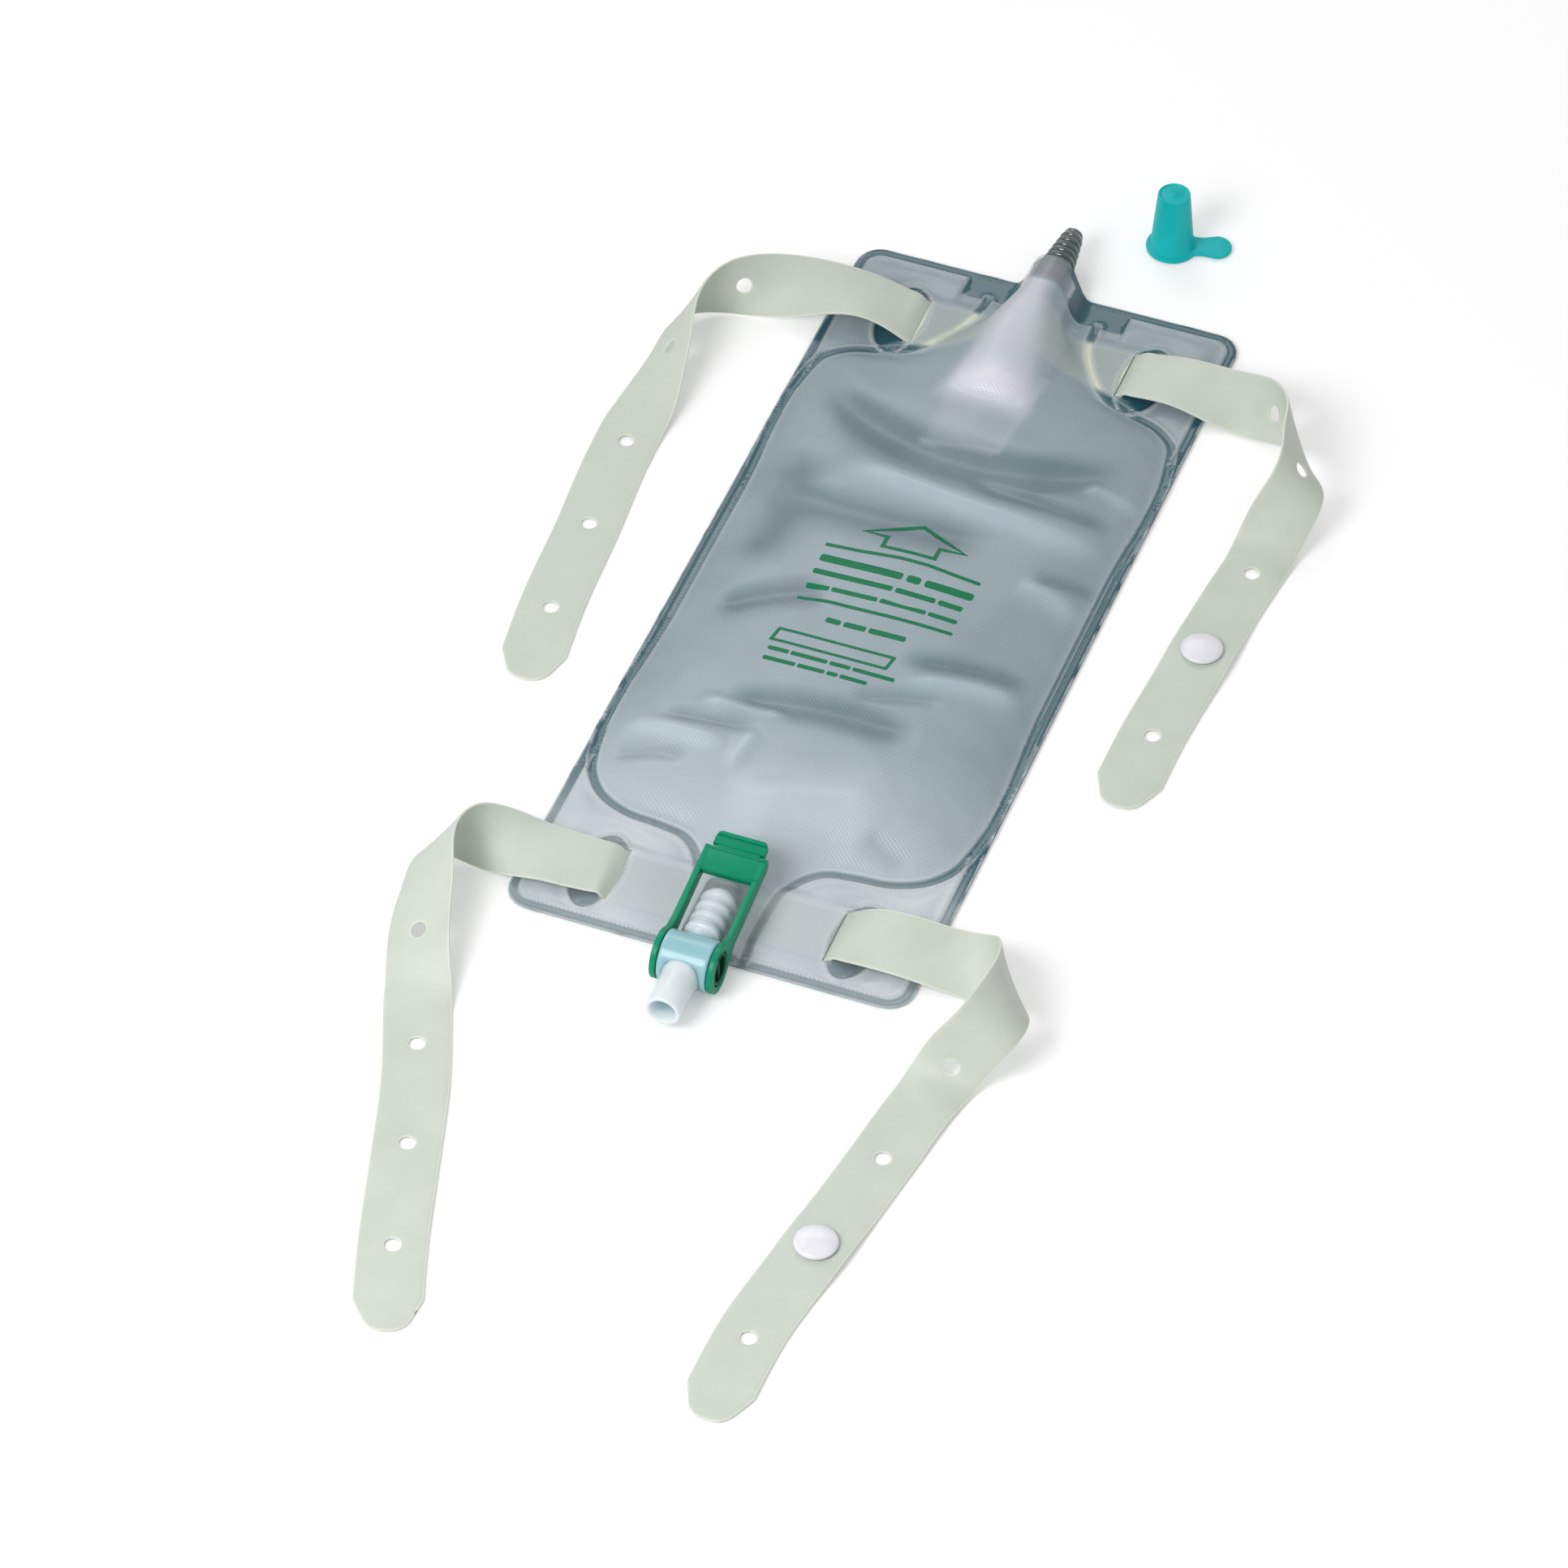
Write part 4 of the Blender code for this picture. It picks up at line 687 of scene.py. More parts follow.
def bag_outline(amount):
    """Rounded rectangle of the films, moved in from their edge."""
    hx, hy, r = HALF_W - amount, HALF_L - amount, CORNER_R - amount
    ring = []
    for cx, cy, start in ((1, 1, 0), (-1, 1, 90), (-1, -1, 180), (1, -1, 270)):
        ring += corner_arc(cx * (hx - r), cy * (hy - r), r, start, 10)
    return np.array(ring)


def divide(line, step, closed=False):
    """Points at an even step along a line."""
    line = np.array(line, float)
    ends = np.vstack([line, line[:1]]) if closed else line
    run = np.r_[0.0, np.cumsum(np.linalg.norm(np.diff(ends, axis=0), axis=1))]
    count = max(2, int(run[-1] / step))
    at = np.linspace(0.0, run[-1], count, endpoint=not closed)
    return np.column_stack([np.interp(at, run, ends[:, 0]), np.interp(at, run, ends[:, 1])])


RIGHT_WELD = spline(POUCH_SIDE, 6)
LEFT_WELD = RIGHT_WELD * np.array([-1.0, 1.0])
POUCH_RING = np.vstack([RIGHT_WELD, LEFT_WELD[::-1]])
EDGE_RING = bag_outline(0.0)
EDGE_LINE = np.vstack([EDGE_RING, EDGE_RING[:1]])


# Edges that show sharply in the film: the header welds and the rim of the reflux sleeve
HEADER_X = (9.0, 30.0)
HEADER_WELD = ((HEADER_X[0], HALF_L - 12.0), (HEADER_X[1], HALF_L - 12.5),
               (HEADER_X[1], HALF_L - 3.0), (HEADER_X[0], HALF_L - 3.0),
               (HEADER_X[0], HALF_L - 12.0))
REFLUX_RIM = ((15.2, 124.0), (14.8, 108.0), (12.6, 77.5), (-14.5, 75.5))
CRISP = (HEADER_WELD, tuple((-x, y) for x, y in HEADER_WELD), REFLUX_RIM)
# The cone of film under the inlet: where it begins, and where it has its full height
CONE_Y = (92.0, 108.0)
# Where the film over the stem turns clear, and where the painted sheen on the lower pouch begins
CLEAR_Y = -148.0
LOWER_SHEEN_Y = -50.0


def ring_distance(x, y):
    """Signed distance to the nearest oval weld, negative inside it."""
    best = np.full(len(x), 1e3)
    for sx, cy in SLITS:
        u, v = (x - sx * RING_X) / RING_A, (y - cy) / RING_B
        k = np.sqrt(u * u + v * v) + 1e-9
        grow = np.sqrt((u / RING_A) ** 2 + (v / RING_B) ** 2) / k + 1e-9
        best = np.minimum(best, (k - 1.0) / grow)
    return best


def fold(x, y, line):
    """One fold of the film, steeper on one side and fading at its ends."""
    x0, y0, x1, y1, bow, above, below, height = line
    run = math.hypot(x1 - x0, y1 - y0)
    ux, uy = (x1 - x0) / run, (y1 - y0) / run
    t = ((x - x0) * ux + (y - y0) * uy) / run
    side = -(x - x0) * uy + (y - y0) * ux - bow * 4 * t * (1 - t)
    fade = smooth(t * 4.0) * smooth((1.0 - t) * 4.0)
    return height * fade * np.exp(-((side / np.where(side > 0, above, below)) ** 2))


def strap_hump(x, y):
    """Lift of the films over the straps that pass behind them."""
    lift = np.zeros(len(x))
    for cy in SLIT_Y:
        down = (HUMP_FOOT[1] - np.abs(y - cy)) / (HUMP_FOOT[1] - HUMP_TOP[1])
        out = (HUMP_FOOT[0] - np.abs(x)) / (HUMP_FOOT[0] - HUMP_TOP[0])
        lift = np.maximum(lift, HUMP_RISE * smooth(np.minimum(down, out)))
    return lift


def tent(x, y, peak, half_width, power, y_full, y_none):
    """Film drawn over a round piece on the centre line."""
    along = smooth((y - y_none) / (y_full - y_none))
    return peak * along * np.exp(-((np.abs(x) / half_width) ** power))


class Film:
    """Distances to every weld and the height of the front film over a set of flat points."""

    def __init__(self, x, y, rise, fold_strength):
        self.pouch = inside(x, y, POUCH_RING)
        self.seam = np.minimum(segment_distance(x, y, RIGHT_WELD),
                               segment_distance(x, y, LEFT_WELD))
        self.edge = segment_distance(x, y, EDGE_LINE)
        self.ring = ring_distance(x, y)
        self.header = (np.abs(x) < HEADER_X[1] + 0.2) & (y > HALF_L - 12.6)
        header = np.where(np.abs(x) < 20.0, np.abs(y - RIGHT_WELD[0, 1]), 1e3)
        depth = np.maximum(0.0, np.minimum(self.seam, header) - SEAM_WELD / 2)
        pouch = rise * (1.0 - np.exp(-depth / 15.0))
        folds = sum(fold(x, y, line) for line in FOLDS)
        self.folds = folds * self.pouch
        near = np.exp(-depth / 9.0) * smooth(depth / 3.0)
        folds += 0.5 * near * ripple(x * 0.6, y, 3.4) + 0.25 * ripple(x, y, 9.0)
        pouch += fold_strength * folds * smooth(depth / 8.0)
        room = np.minimum(np.minimum(self.seam - SEAM_WELD / 2, self.edge - EDGE_WELD),
                          self.ring - 1.5)
        tab = 1.6 * (1.0 - np.exp(-np.maximum(0.0, room) / 5.0))
        tab = np.where((np.abs(x) < HEADER_X[1]) & (y > HALF_L - 18.0), 0.0, tab)
        tab += 0.9 * np.exp(-((self.ring / 1.3) ** 2))
        tab += 0.15 * ripple(x, y, 4.0) * smooth(room / 4.0)
        # Beads pushed up along each weld, and the puckered flash outside it
        bead = 0.55 * np.exp(-(((self.seam - 2.0) / 0.55) ** 2))
        bead += 0.6 * np.exp(-(((self.edge - 4.1) / 0.7) ** 2)) * ~(self.pouch | self.header)
        bead += 0.35 * np.exp(-(((self.edge - 1.5) / 0.45) ** 2))
        bead += 0.16 * ripple(x, y, 1.4) * smooth((1.3 - self.edge) / 1.3)
        lift = np.where(self.pouch, pouch, tab) + bead
        peak = INLET_Z + SLEEVE_OD / 2 + 0.15
        # Square over the round sleeve, then a wide soft cone
        cone = smooth((SLEEVE_Y[0] + 2.0 - y) / 32.0)
        inlet = tent(x + 1.5 * cone, y, peak, 9.7 + 10.3 * cone, 4.2 - 1.8 * cone,
                     CONE_Y[1], CONE_Y[0])
        inlet *= 0.76 + 0.24 * smooth((y - 112.0) / (SLEEVE_Y[0] - 116.0))
        peak = VALVE_Z + STEM_RING_D / 2 + 0.05
        stem = tent(x, y, peak, 7.7, 6.0, STEM_INTO_BAG + 1.0, STEM_INTO_BAG + 13.0)
        lift = soft_max(lift, np.maximum(inlet, stem))
        self.height = 2 * FILM_T + GAP + soft_max(lift, strap_hump(x, y))


def film_marks(x, y, film):
    """What shows at each point of a film, from 0 to 1."""
    # Glassy welds: seam, edge, ovals and the two header plates
    seam = smooth((1.7 - film.seam) / 0.6)
    edge = smooth((3.5 - film.edge) / 0.6)
    oval = smooth((0.2 - film.ring) / 0.8)
    slab = smooth((HEADER_X[1] + 0.2 - np.abs(x)) / 0.5)
    slab *= smooth((np.abs(x) - HEADER_X[0] + 0.2) / 0.5)
    slab *= smooth((y - HALF_L + 12.4) / 0.5) * (y > 0)
    weld = np.maximum.reduce([seam, edge, oval, slab])
    # Painted sheen: the welds low on the bag are painted fainter
    weld *= 1.0 - 0.3 * smooth((-105.0 - y) / 25.0)
    # Flash along the edge, partly its own pale colour and partly a painted highlight, and painted
    # highlights on the lips beside each weld and oval, stronger low on the bag
    ragged = 0.45 + 0.45 * ripple(x, y, 2.3)
    flash_and_painted_highlight = 0.8 * smooth((ragged - film.edge) / 0.5)
    low = smooth((-95.0 - y) / 25.0)
    for lip, wide, strong in ((film.seam - 1.9, 0.4, 0.3 + 0.4 * low),
                              (film.ring - 0.6, 0.5, 0.6 + 0.3 * low)):
        flash_and_painted_highlight = np.maximum(flash_and_painted_highlight, strong * np.exp(-((lip / wide) ** 2)))
    lip = 0.4 * np.exp(-(((film.edge - 4.1) / 0.5) ** 2)) * ~film.pouch * ~film.header
    flash_and_painted_highlight = np.maximum(flash_and_painted_highlight, lip)
    # Straps on their way behind the film
    behind = smooth((40.0 - np.abs(x)) / 2.0)
    strap = smooth((12.0 - np.abs(y - SLIT_Y[0])) / 2.5) * behind
    strap += 0.3 * smooth((12.0 - np.abs(y - SLIT_Y[1])) / 2.5) * behind
    # Reflux sleeve against the front film, with a painted highlight over the fan and a painted
    # glint at the bottom of the cone
    right, up = np.array(REFLUX_RIM[2::-1]).T
    rim = np.interp(y, up, right)
    inner = smooth((x + 15.5) / 4.0) * smooth((rim - x) / 0.7) * smooth((y - 76.6) / 0.9)
    half = np.interp(y, (96.0, 112.0, 150.0), (21.0, 18.5, 8.5))
    fan = smooth((half - np.abs(x + 1.5)) / 8.0) * smooth((y - CONE_Y[0]) / 12.0)
    cone_highlight = np.exp(-(((x + 2.5) / 15.0) ** 2) - ((y - CONE_Y[1] - 0.5) / 8.0) ** 2)
    cone_glint = np.exp(-(((x - 3.5) / 5.0) ** 2) - ((y - CONE_Y[1]) / 3.2) ** 2)
    sleeve = 0.12 * inner + fan * (0.44 + 0.5 * cone_highlight) + 0.25 * cone_glint
    sleeve = np.minimum(sleeve, 1.0) * film.pouch
    line = segment_distance(x, y, REFLUX_RIM)
    # Painted highlight along the rim of the reflux sleeve
    flash_and_painted_highlight = np.maximum(flash_and_painted_highlight, 0.35 * np.exp(-((line / 0.5) ** 2)) * (y < 120.0))
    clear = smooth((7.2 - np.abs(x)) / 1.0) * np.maximum(
        smooth((CLEAR_Y - y) / 3.0), 0.8 * smooth((y - SLEEVE_Y[0] - 2.0) / 2.0))
    # Painted sheen: the pouch painted paler towards the outlet, the lower tabs paler in uneven
    # patches
    painted_lower_sheen = np.where(film.pouch, 0.6 * smooth((LOWER_SHEEN_Y - y) / 80.0),
                      (y < 0.0) * (0.86 + 0.25 * ripple(x, y, 9.0)))
    # Painted shade, from 1 in the fold valleys to 0 on the crests, where the painted highlight
    # shows
    painted_fold_shade = np.clip(0.5 - 0.5 * film.folds, 0.0, 1.0)
    return {"weld": weld * (1.0 - 0.7 * clear), "flash_and_painted_highlight": flash_and_painted_highlight * (1.0 - clear),
            "painted_fold_shade": painted_fold_shade, "painted_lower_sheen": painted_lower_sheen, "strap": strap * (1.0 - sleeve),
            "sleeve": sleeve, "clear": clear}


def slit_rings():
    """Cut outline of the four strap slits."""
    rings = []
    for sx, cy in SLITS:
        hx, hy, cx = SLIT_W / 2, SLIT_L / 2, sx * SLIT_X
        box = [(cx - hx, cy - hy), (cx + hx, cy - hy), (cx + hx, cy + hy), (cx - hx, cy + hy)]
        rings.append(divide(box, 1.5, True))
    return rings


# Rows of points that follow the seam, the bag's edge and the ovals, as distances from them
FINE_ROWS = (
    (-2.7, -2.0, -1.3, 0.0, 1.3, 2.0, 2.7), (0.7, 1.5, 2.2, 3.0, 3.6, 4.2, 5.0),
    (-2.4, -1.6, -0.8, 0.0, 0.8, 1.6),
)
PLAIN_ROWS = ((-1.5, 1.5), (3.6,), (0.0,))


def film_flat(step, rows, crisp=()):
    """Flat triangles of a film, close together along its welds and its sharp lines."""
    by_seam, by_edge, by_ring = rows
    edge = divide(EDGE_RING, step, True)
    slits = slit_rings()
    guides = []
    for weld in (RIGHT_WELD, LEFT_WELD):
        line = divide(weld, 1.5)
        along = np.gradient(line, axis=0)
        along /= np.linalg.norm(along, axis=1)[:, None]
        normal = np.stack([-along[:, 1], along[:, 0]], 1)
        guides += [line + normal * d for d in by_seam]
    guides += [divide(bag_outline(d), 1.5, True) for d in by_edge]
    turns = np.linspace(0, 2 * math.pi, 58, endpoint=False)
    for sx, cy in SLITS:
        guides += [np.stack([sx * RING_X + (RING_A + d) * np.cos(turns),
                             cy + (RING_B + d) * np.sin(turns)], 1) for d in by_ring]
    for line in crisp:
        spots = divide(line, 0.9)
        guides += [spots + (0.35, 0.35), spots - (0.35, 0.35)]
    guides = np.vstack(guides)
    _, first = np.unique(np.floor(guides / 0.6), axis=0, return_index=True)
    guides = guides[np.sort(first)]
    count = int(2 * HALF_L / (step * 0.866))
    ys = -HALF_L + 2 * HALF_L * np.arange(1, count) / count
    half = int(HALF_W / step) + 1
    grid = np.array([(k * step + 0.5 * step * (j % 2), y)
                     for j, y in enumerate(ys) for k in range(-half, half)])
    grid = grid[clear_of(grid, guides, step * 0.6)]
    extra = np.vstack([guides, grid])
    extra = extra[inside(extra[:, 0], extra[:, 1], EDGE_RING)]
    extra = extra[clear_of(extra, np.vstack([edge] + slits), 0.45)]

    def keep(x, y):
        hit = inside(x, y, EDGE_RING)
        for ring in slits:
            hit &= ~inside(x, y, ring)
        return hit

    return flat_triangles([edge] + slits, extra, keep)


def clear_of(points, others, gap):
    """Which points keep at least a gap from all the others."""
    tree = KDTree(len(others))
    for i, (x, y) in enumerate(others):
        tree.insert((x, y, 0.0), i)
    tree.balance()
    return np.array([tree.find((x, y, 0.0))[2] > gap for x, y in points])


def add_film(word, net, film, height, looks, pouch_end):
    """One film sheet over its solid; its pouch and its tabs have a look each."""
    flat, tris = net
    x, y = flat[tris].mean(1).T
    pouch = inside(x, y, POUCH_RING) & (y > pouch_end)
    add_piece(word + "_film_sheet", (np.column_stack([flat, height]), tris), looks,
              (word + "_film",), sharp=80, closed=False, look_of=np.where(pouch, 0, 1),
              marks=film_marks(flat[:, 0], flat[:, 1], film))


class LEGBAG_OT_films(bpy.types.Operator):
    """Front film that swells and creases between its welds, and the back film under it"""
    bl_idname = "legbag.films"
    bl_label = "Films"

    def execute(self, context):
        s = context.scene.legbag_film
        net = film_flat(1.7, FINE_ROWS, CRISP)
        film = Film(*net[0].T, s.pouch_rise / MM, s.fold_strength)
        looks = (
            film_surface("frosted PVC film, calendered", s, s.pouch_tint, 0.9, 0.31, 0.00022),
            film_surface("PVC film tabs, calendered", s, s.upper_tint, 0.72, 0.28, 0.00012),
        )
        add_film("front", net, film, film.height, looks, LOWER_TAB - 18.0)
        net = film_flat(3.4, PLAIN_ROWS)
        film = Film(*net[0].T, 1.0, 0.0)
        looks = (
            film_surface("frosted PVC back film, calendered", s, scaled(s.pouch_tint, 0.92),
                         0.8, 0.4, 0.0002),
            film_surface("PVC back film tabs, calendered", s, s.upper_tint, 0.5, 0.34, 0.00012),
        )
        add_film("back", net, film,
                 strap_hump(*net[0].T) + FILM_T / 2, looks, -HALF_L)
        return {"FINISHED"}


class LEGBAG_OT_reflux_valve(bpy.types.Operator):
    """Thin flat sleeve inside the pouch that lets the flow in and not back"""
    bl_idname = "legbag.reflux_valve"
    bl_label = "Reflux valve"

    def execute(self, context):
        s = context.scene.legbag_film
        sides, stations = 56, 30
        points, faces = [], []
        for i in range(stations):
            t = i / (stations - 1)
            y = REFLUX_Y[0] + (REFLUX_Y[1] - REFLUX_Y[0]) * t
            e = float(smooth(t * 2.2))
            start = CONNECTOR_FIT_D / 2 + GAP + REFLUX_T
            hx = start + (REFLUX_MOUTH[0] / 2 - start) * e
            hz = start + (REFLUX_MOUTH[1] / 2 - start) * e
            z = INLET_Z + (REFLUX_MOUTH_Z - INLET_Z) * e
            for k in range(sides):
                a = 2 * math.pi * k / sides
                wave = 0.25 * e * math.sin(y * 0.35 + 3.0 * math.cos(a))
                points.append((hx * math.cos(a), y, z + hz * math.sin(a) + wave))
        for i in range(stations - 1):
            for k in range(sides):
                a, b = i * sides + k, i * sides + (k + 1) % sides
                faces.append((a, b, b + sides, a + sides))
        look, tree, shader = new_surface("soft PE film sleeve, blown", Alpha=0.35, IOR=1.5)
        mottle(tree, shader, s.reflux_tint, (0.86, 1.1), (0.22, 0.34), (0.3, 0.0004),
               noise(tree, 60.0, 3.0))
        add_piece("reflux_sleeve", (np.array(points), faces), (look,),
                  ("reflux_valve",), sharp=60, closed=False)
        return {"FINISHED"}


# Print
def stroke(line, width):
    """Outline of a line drawn with a set width and square ends."""
    line = np.array(line, float)
    before = np.diff(line, axis=0)
    before /= np.linalg.norm(before, axis=1)[:, None]
    n = np.stack([-before[:, 1], before[:, 0]], 1)
    first = np.vstack([n[:1], n])
    last = np.vstack([n, n[-1:]])
    both = first + last
    both /= np.maximum(1.0 + (first * last).sum(1), 0.3)[:, None]
    both *= width / 2
    return np.vstack([line + both, (line - both)[::-1]])


def word_bars(x0, x1, y0, y1, words):
    """A line of print as plain rounded bars of uneven length."""
    gap = 0.45 * (y1 - y0)
    unit = (x1 - x0 - gap * (len(words) - 1)) / sum(words)
    bars, x, r = [], x0, (y1 - y0) * 0.3
    for word in words:
        end = x + unit * word
        ring = []
        for cx, cy, start in ((end - r, y1 - r, 0), (x + r, y1 - r, 90),
                              (x + r, y0 + r, 180), (end - r, y0 + r, 270)):
            ring += corner_arc(cx, cy, r, start, 3)
        bars.append(np.array(ring))
        x = end + gap
    return bars


class LEGBAG_OT_print(bpy.types.Operator):
    """Green arrow, rules and plain bars screen printed on the front film"""
    bl_idname = "legbag.print"
    bl_label = "Print"

    def execute(self, context):
        s = context.scene.legbag_print
        f = context.scene.legbag_film
        w = s.line / MM
        shapes = [
            stroke([(1.2, 19.7), (-8.0, 19.4), (-8.0, 24.9), (-16.5, 25.2), (1.8, 34.0),
                    (19.6, 25.8), (10.6, 25.4), (10.6, 19.8), (1.2, 19.7)], w),
            stroke([(-26.5, 14.0), (-14.0, 14.5), (0.0, 15.9), (10.0, 16.0), (20.0, 15.0),
                    (29.0, 14.5)], w),
            stroke([(-27.0, -11.8), (0.0, -12.0), (28.5, -11.9)], w),
            stroke([(-6.0, -29.6), (-26.4, -29.8), (-27.4, -35.4), (13.4, -35.2), (14.4, -29.6),
                    (-6.0, -29.6)], w * 0.8),
        ]
        for x0, x1, y0, y1, words in (
            (-26.0, 29.0, 5.8, 9.2, (12, 2, 7)), (-26.0, 27.5, -0.5, 1.9, (10, 5, 3)),
            (-26.0, 28.0, -6.9, -4.9, (4, 8, 8, 5)), (-13.5, 15.0, -21.5, -19.1, (2, 3, 5)),
            (-27.0, 18.0, -40.3, -38.5, (4, 7, 4, 8)), (-27.0, 10.0, -45.1, -43.3, (6, 5, 2, 5)),
        ):
            shapes += word_bars(x0, x1, y0, y1, words)
        parts = []
        for ring in shapes:
            ring = divide(ring, 0.7, True) if len(ring) < 16 else ring
            low, high = ring.min(0), ring.max(0)
            xs, ys = np.arange(low[0], high[0], 1.1), np.arange(low[1], high[1], 1.1)
            grid = np.array([(x, y) for x in xs for y in ys])
            grid = grid[inside(grid[:, 0], grid[:, 1], ring)]
            if len(grid):
                grid = grid[clear_of(grid, ring, 0.35)]
            flat, tris = flat_triangles([ring], grid, lambda x, y: inside(x, y, ring))
            film = Film(flat[:, 0], flat[:, 1], f.pouch_rise / MM, f.fold_strength)
            parts.append((np.column_stack([flat, film.height + 0.07]), [tuple(t) for t in tris]))
        # Screen ink: satin, slightly uneven in density, thin enough to follow the emboss
        look, tree, shader = new_surface("screen ink, printed", Specular_IOR_Level=0.25)
        mottle(tree, shader, s.ink, (0.85, 1.25), (0.38, 0.5), (0.2, 0.00004),
               noise(tree, 1400.0, 2.0))
        add_piece("front_print", together(*parts), (look,), sharp=80,
                  closed=False)
        return {"FINISHED"}


# Straps
def between(s, knots, values):
    """Values of a table of points at some lengths along it."""
    return np.stack([np.interp(s, knots, values[:, k]) for k in range(values.shape[1])], 1)


def turn_rows(side, cy, plan, half):
    """Far and near edge of a turn, outward from its slit."""
    length, lead, *rates = plan[:5]
    pitch, yaw, roll = map(math.radians, lead)
    count = int(length / PLATE) + 1
    at = np.linspace(0.0, len(rates[0]) - 1, count)
    rates = [np.interp(at, range(len(rate)), rate) * PLATE for rate in rates]
    look = Matrix.Rotation(yaw, 3, "Z")
    t = look @ Vector((side * math.cos(pitch), 0.0, math.sin(pitch)))
    b = look @ Vector((0.0, 1.0, 0.0))
    b = b * math.cos(roll) + t.cross(b) * math.sin(roll)
    o = Vector((side * CLIMB[-1][0], cy, CLIMB[-1][1]))
    rows = []
    for i, (bend, twist, drift) in enumerate(zip(*rates)):
        if i % 3 == 0:
            rows.append((*(o + b * half), *(o - b * half)))
        spin = b * float(bend) + t * float(twist) + t.cross(b) * float(drift)
        o = o + PLATE * (t + 0.5 * spin.cross(t)).normalized()
        turn = Matrix.Rotation(spin.length, 3, spin)
        t, b = turn @ t, turn @ b
    return np.array(rows)


def flat_rows(rows, line, half):
    """Crosswise lines of the stretch that lies flat, after the last one of its turn."""
    before = (rows[-1][:2] + rows[-1][3:5]) / 2
    width = rows[-1][:2] - rows[-1][3:5]
    line = np.vstack([before[None], line])
    out = []
    for i in range(1, len(line)):
        d = line[min(i + 1, len(line) - 1)] - line[i - 1]
        side = np.array([-d[1], d[0]]) / np.linalg.norm(d)
        width = side if side @ width > 0 else -side
        out.append((*(line[i] + width * half), STRAP_LIE, *(line[i] - width * half), STRAP_LIE))
    return out


def arm_rows(side, cy, plan, half):
    """Every crosswise line of one arm, from behind the bag to its tip."""
    climb = [(side * x, cy + half, z, side * x, cy - half, z) for x, z in CLIMB[:-1]]
    turn = turn_rows(side, cy, plan, half)
    turn[:, [2, 5]] = np.maximum(turn[:, [2, 5]], STRAP_LIE)
    return climb + list(turn) + flat_rows(turn, np.array(plan[5]) + (side * SLIT_X, cy), half)


class Strap:
    """A strap from its left tip, round and behind the bag, to its right tip."""

    def __init__(self, left, right, cy, width):
        half = width / 2
        middle = [(0.0, cy + half, STRAP_LIE, 0.0, cy - half, STRAP_LIE)]
        rows = arm_rows(-1, cy, left, half)[::-1] + middle + arm_rows(1, cy, right, half)
        table = spline(rows, 12)
        self.centre = (table[:, :3] + table[:, 3:]) / 2
        self.across = table[:, :3] - table[:, 3:]
        self.across /= np.linalg.norm(self.across, axis=1)[:, None]
        steps = np.linalg.norm(np.diff(self.centre, axis=0), axis=1)
        self.s = np.r_[0.0, np.cumsum(steps)]
        self.length = float(self.s[-1])
        self.lifts = []

    def lay(self, s, w, n):
        """Points at a length along, a width across and a height off the strip."""
        t = between(s + 1.2, self.s, self.centre) - between(s - 1.2, self.s, self.centre)
        t /= np.linalg.norm(t, axis=1)[:, None]
        b = between(s, self.s, self.across)
        b -= t * (b * t).sum(1)[:, None]
        b /= np.linalg.norm(b, axis=1)[:, None]
        place = between(s, self.s, self.centre) + b * w[:, None]
        place[:, 2] = np.maximum(place[:, 2], STRAP_LIE)
        for at, height in self.lifts:
            place[:, 2] += height * np.exp(-(((s - at) / 13.0) ** 2))
        return place + np.cross(t, b) * n[:, None]


STRAP_PLANS = {
    "upper": (UPPER_LEFT, UPPER_RIGHT, SLIT_Y[0]),
    "lower": (LOWER_LEFT, LOWER_RIGHT, SLIT_Y[1]),
}
HOLES = {"upper": 5, "lower": 4}


def make_strap(width, plan):
    """One strap, lifted where its button passes through, and the place of that button."""
    strap = Strap(*plan, width)
    button = strap.length - HOLE_END - HOLE_PITCH
    strap.lifts.append((button, BUTTON_FOOT_TOP + GAP + 0.45 - STRAP_LIE))
    return strap, button


def strap_outline(total, half):
    """Flat outline of a strap with its rounded pointed tips."""
    nose = ((3.4, half * 0.64), (1.9, half * 0.53), (0.8, half * 0.39), (0.2, half * 0.22),
            (0.0, half * 0.06))
    side = [(s, w) for s, w in nose[::-1]] + [(TIP_TAPER, half), (total - TIP_TAPER, half)]
    side += [(total - s, w) for s, w in nose]
    return np.array([(s, -w) for s, w in side] + side[::-1])


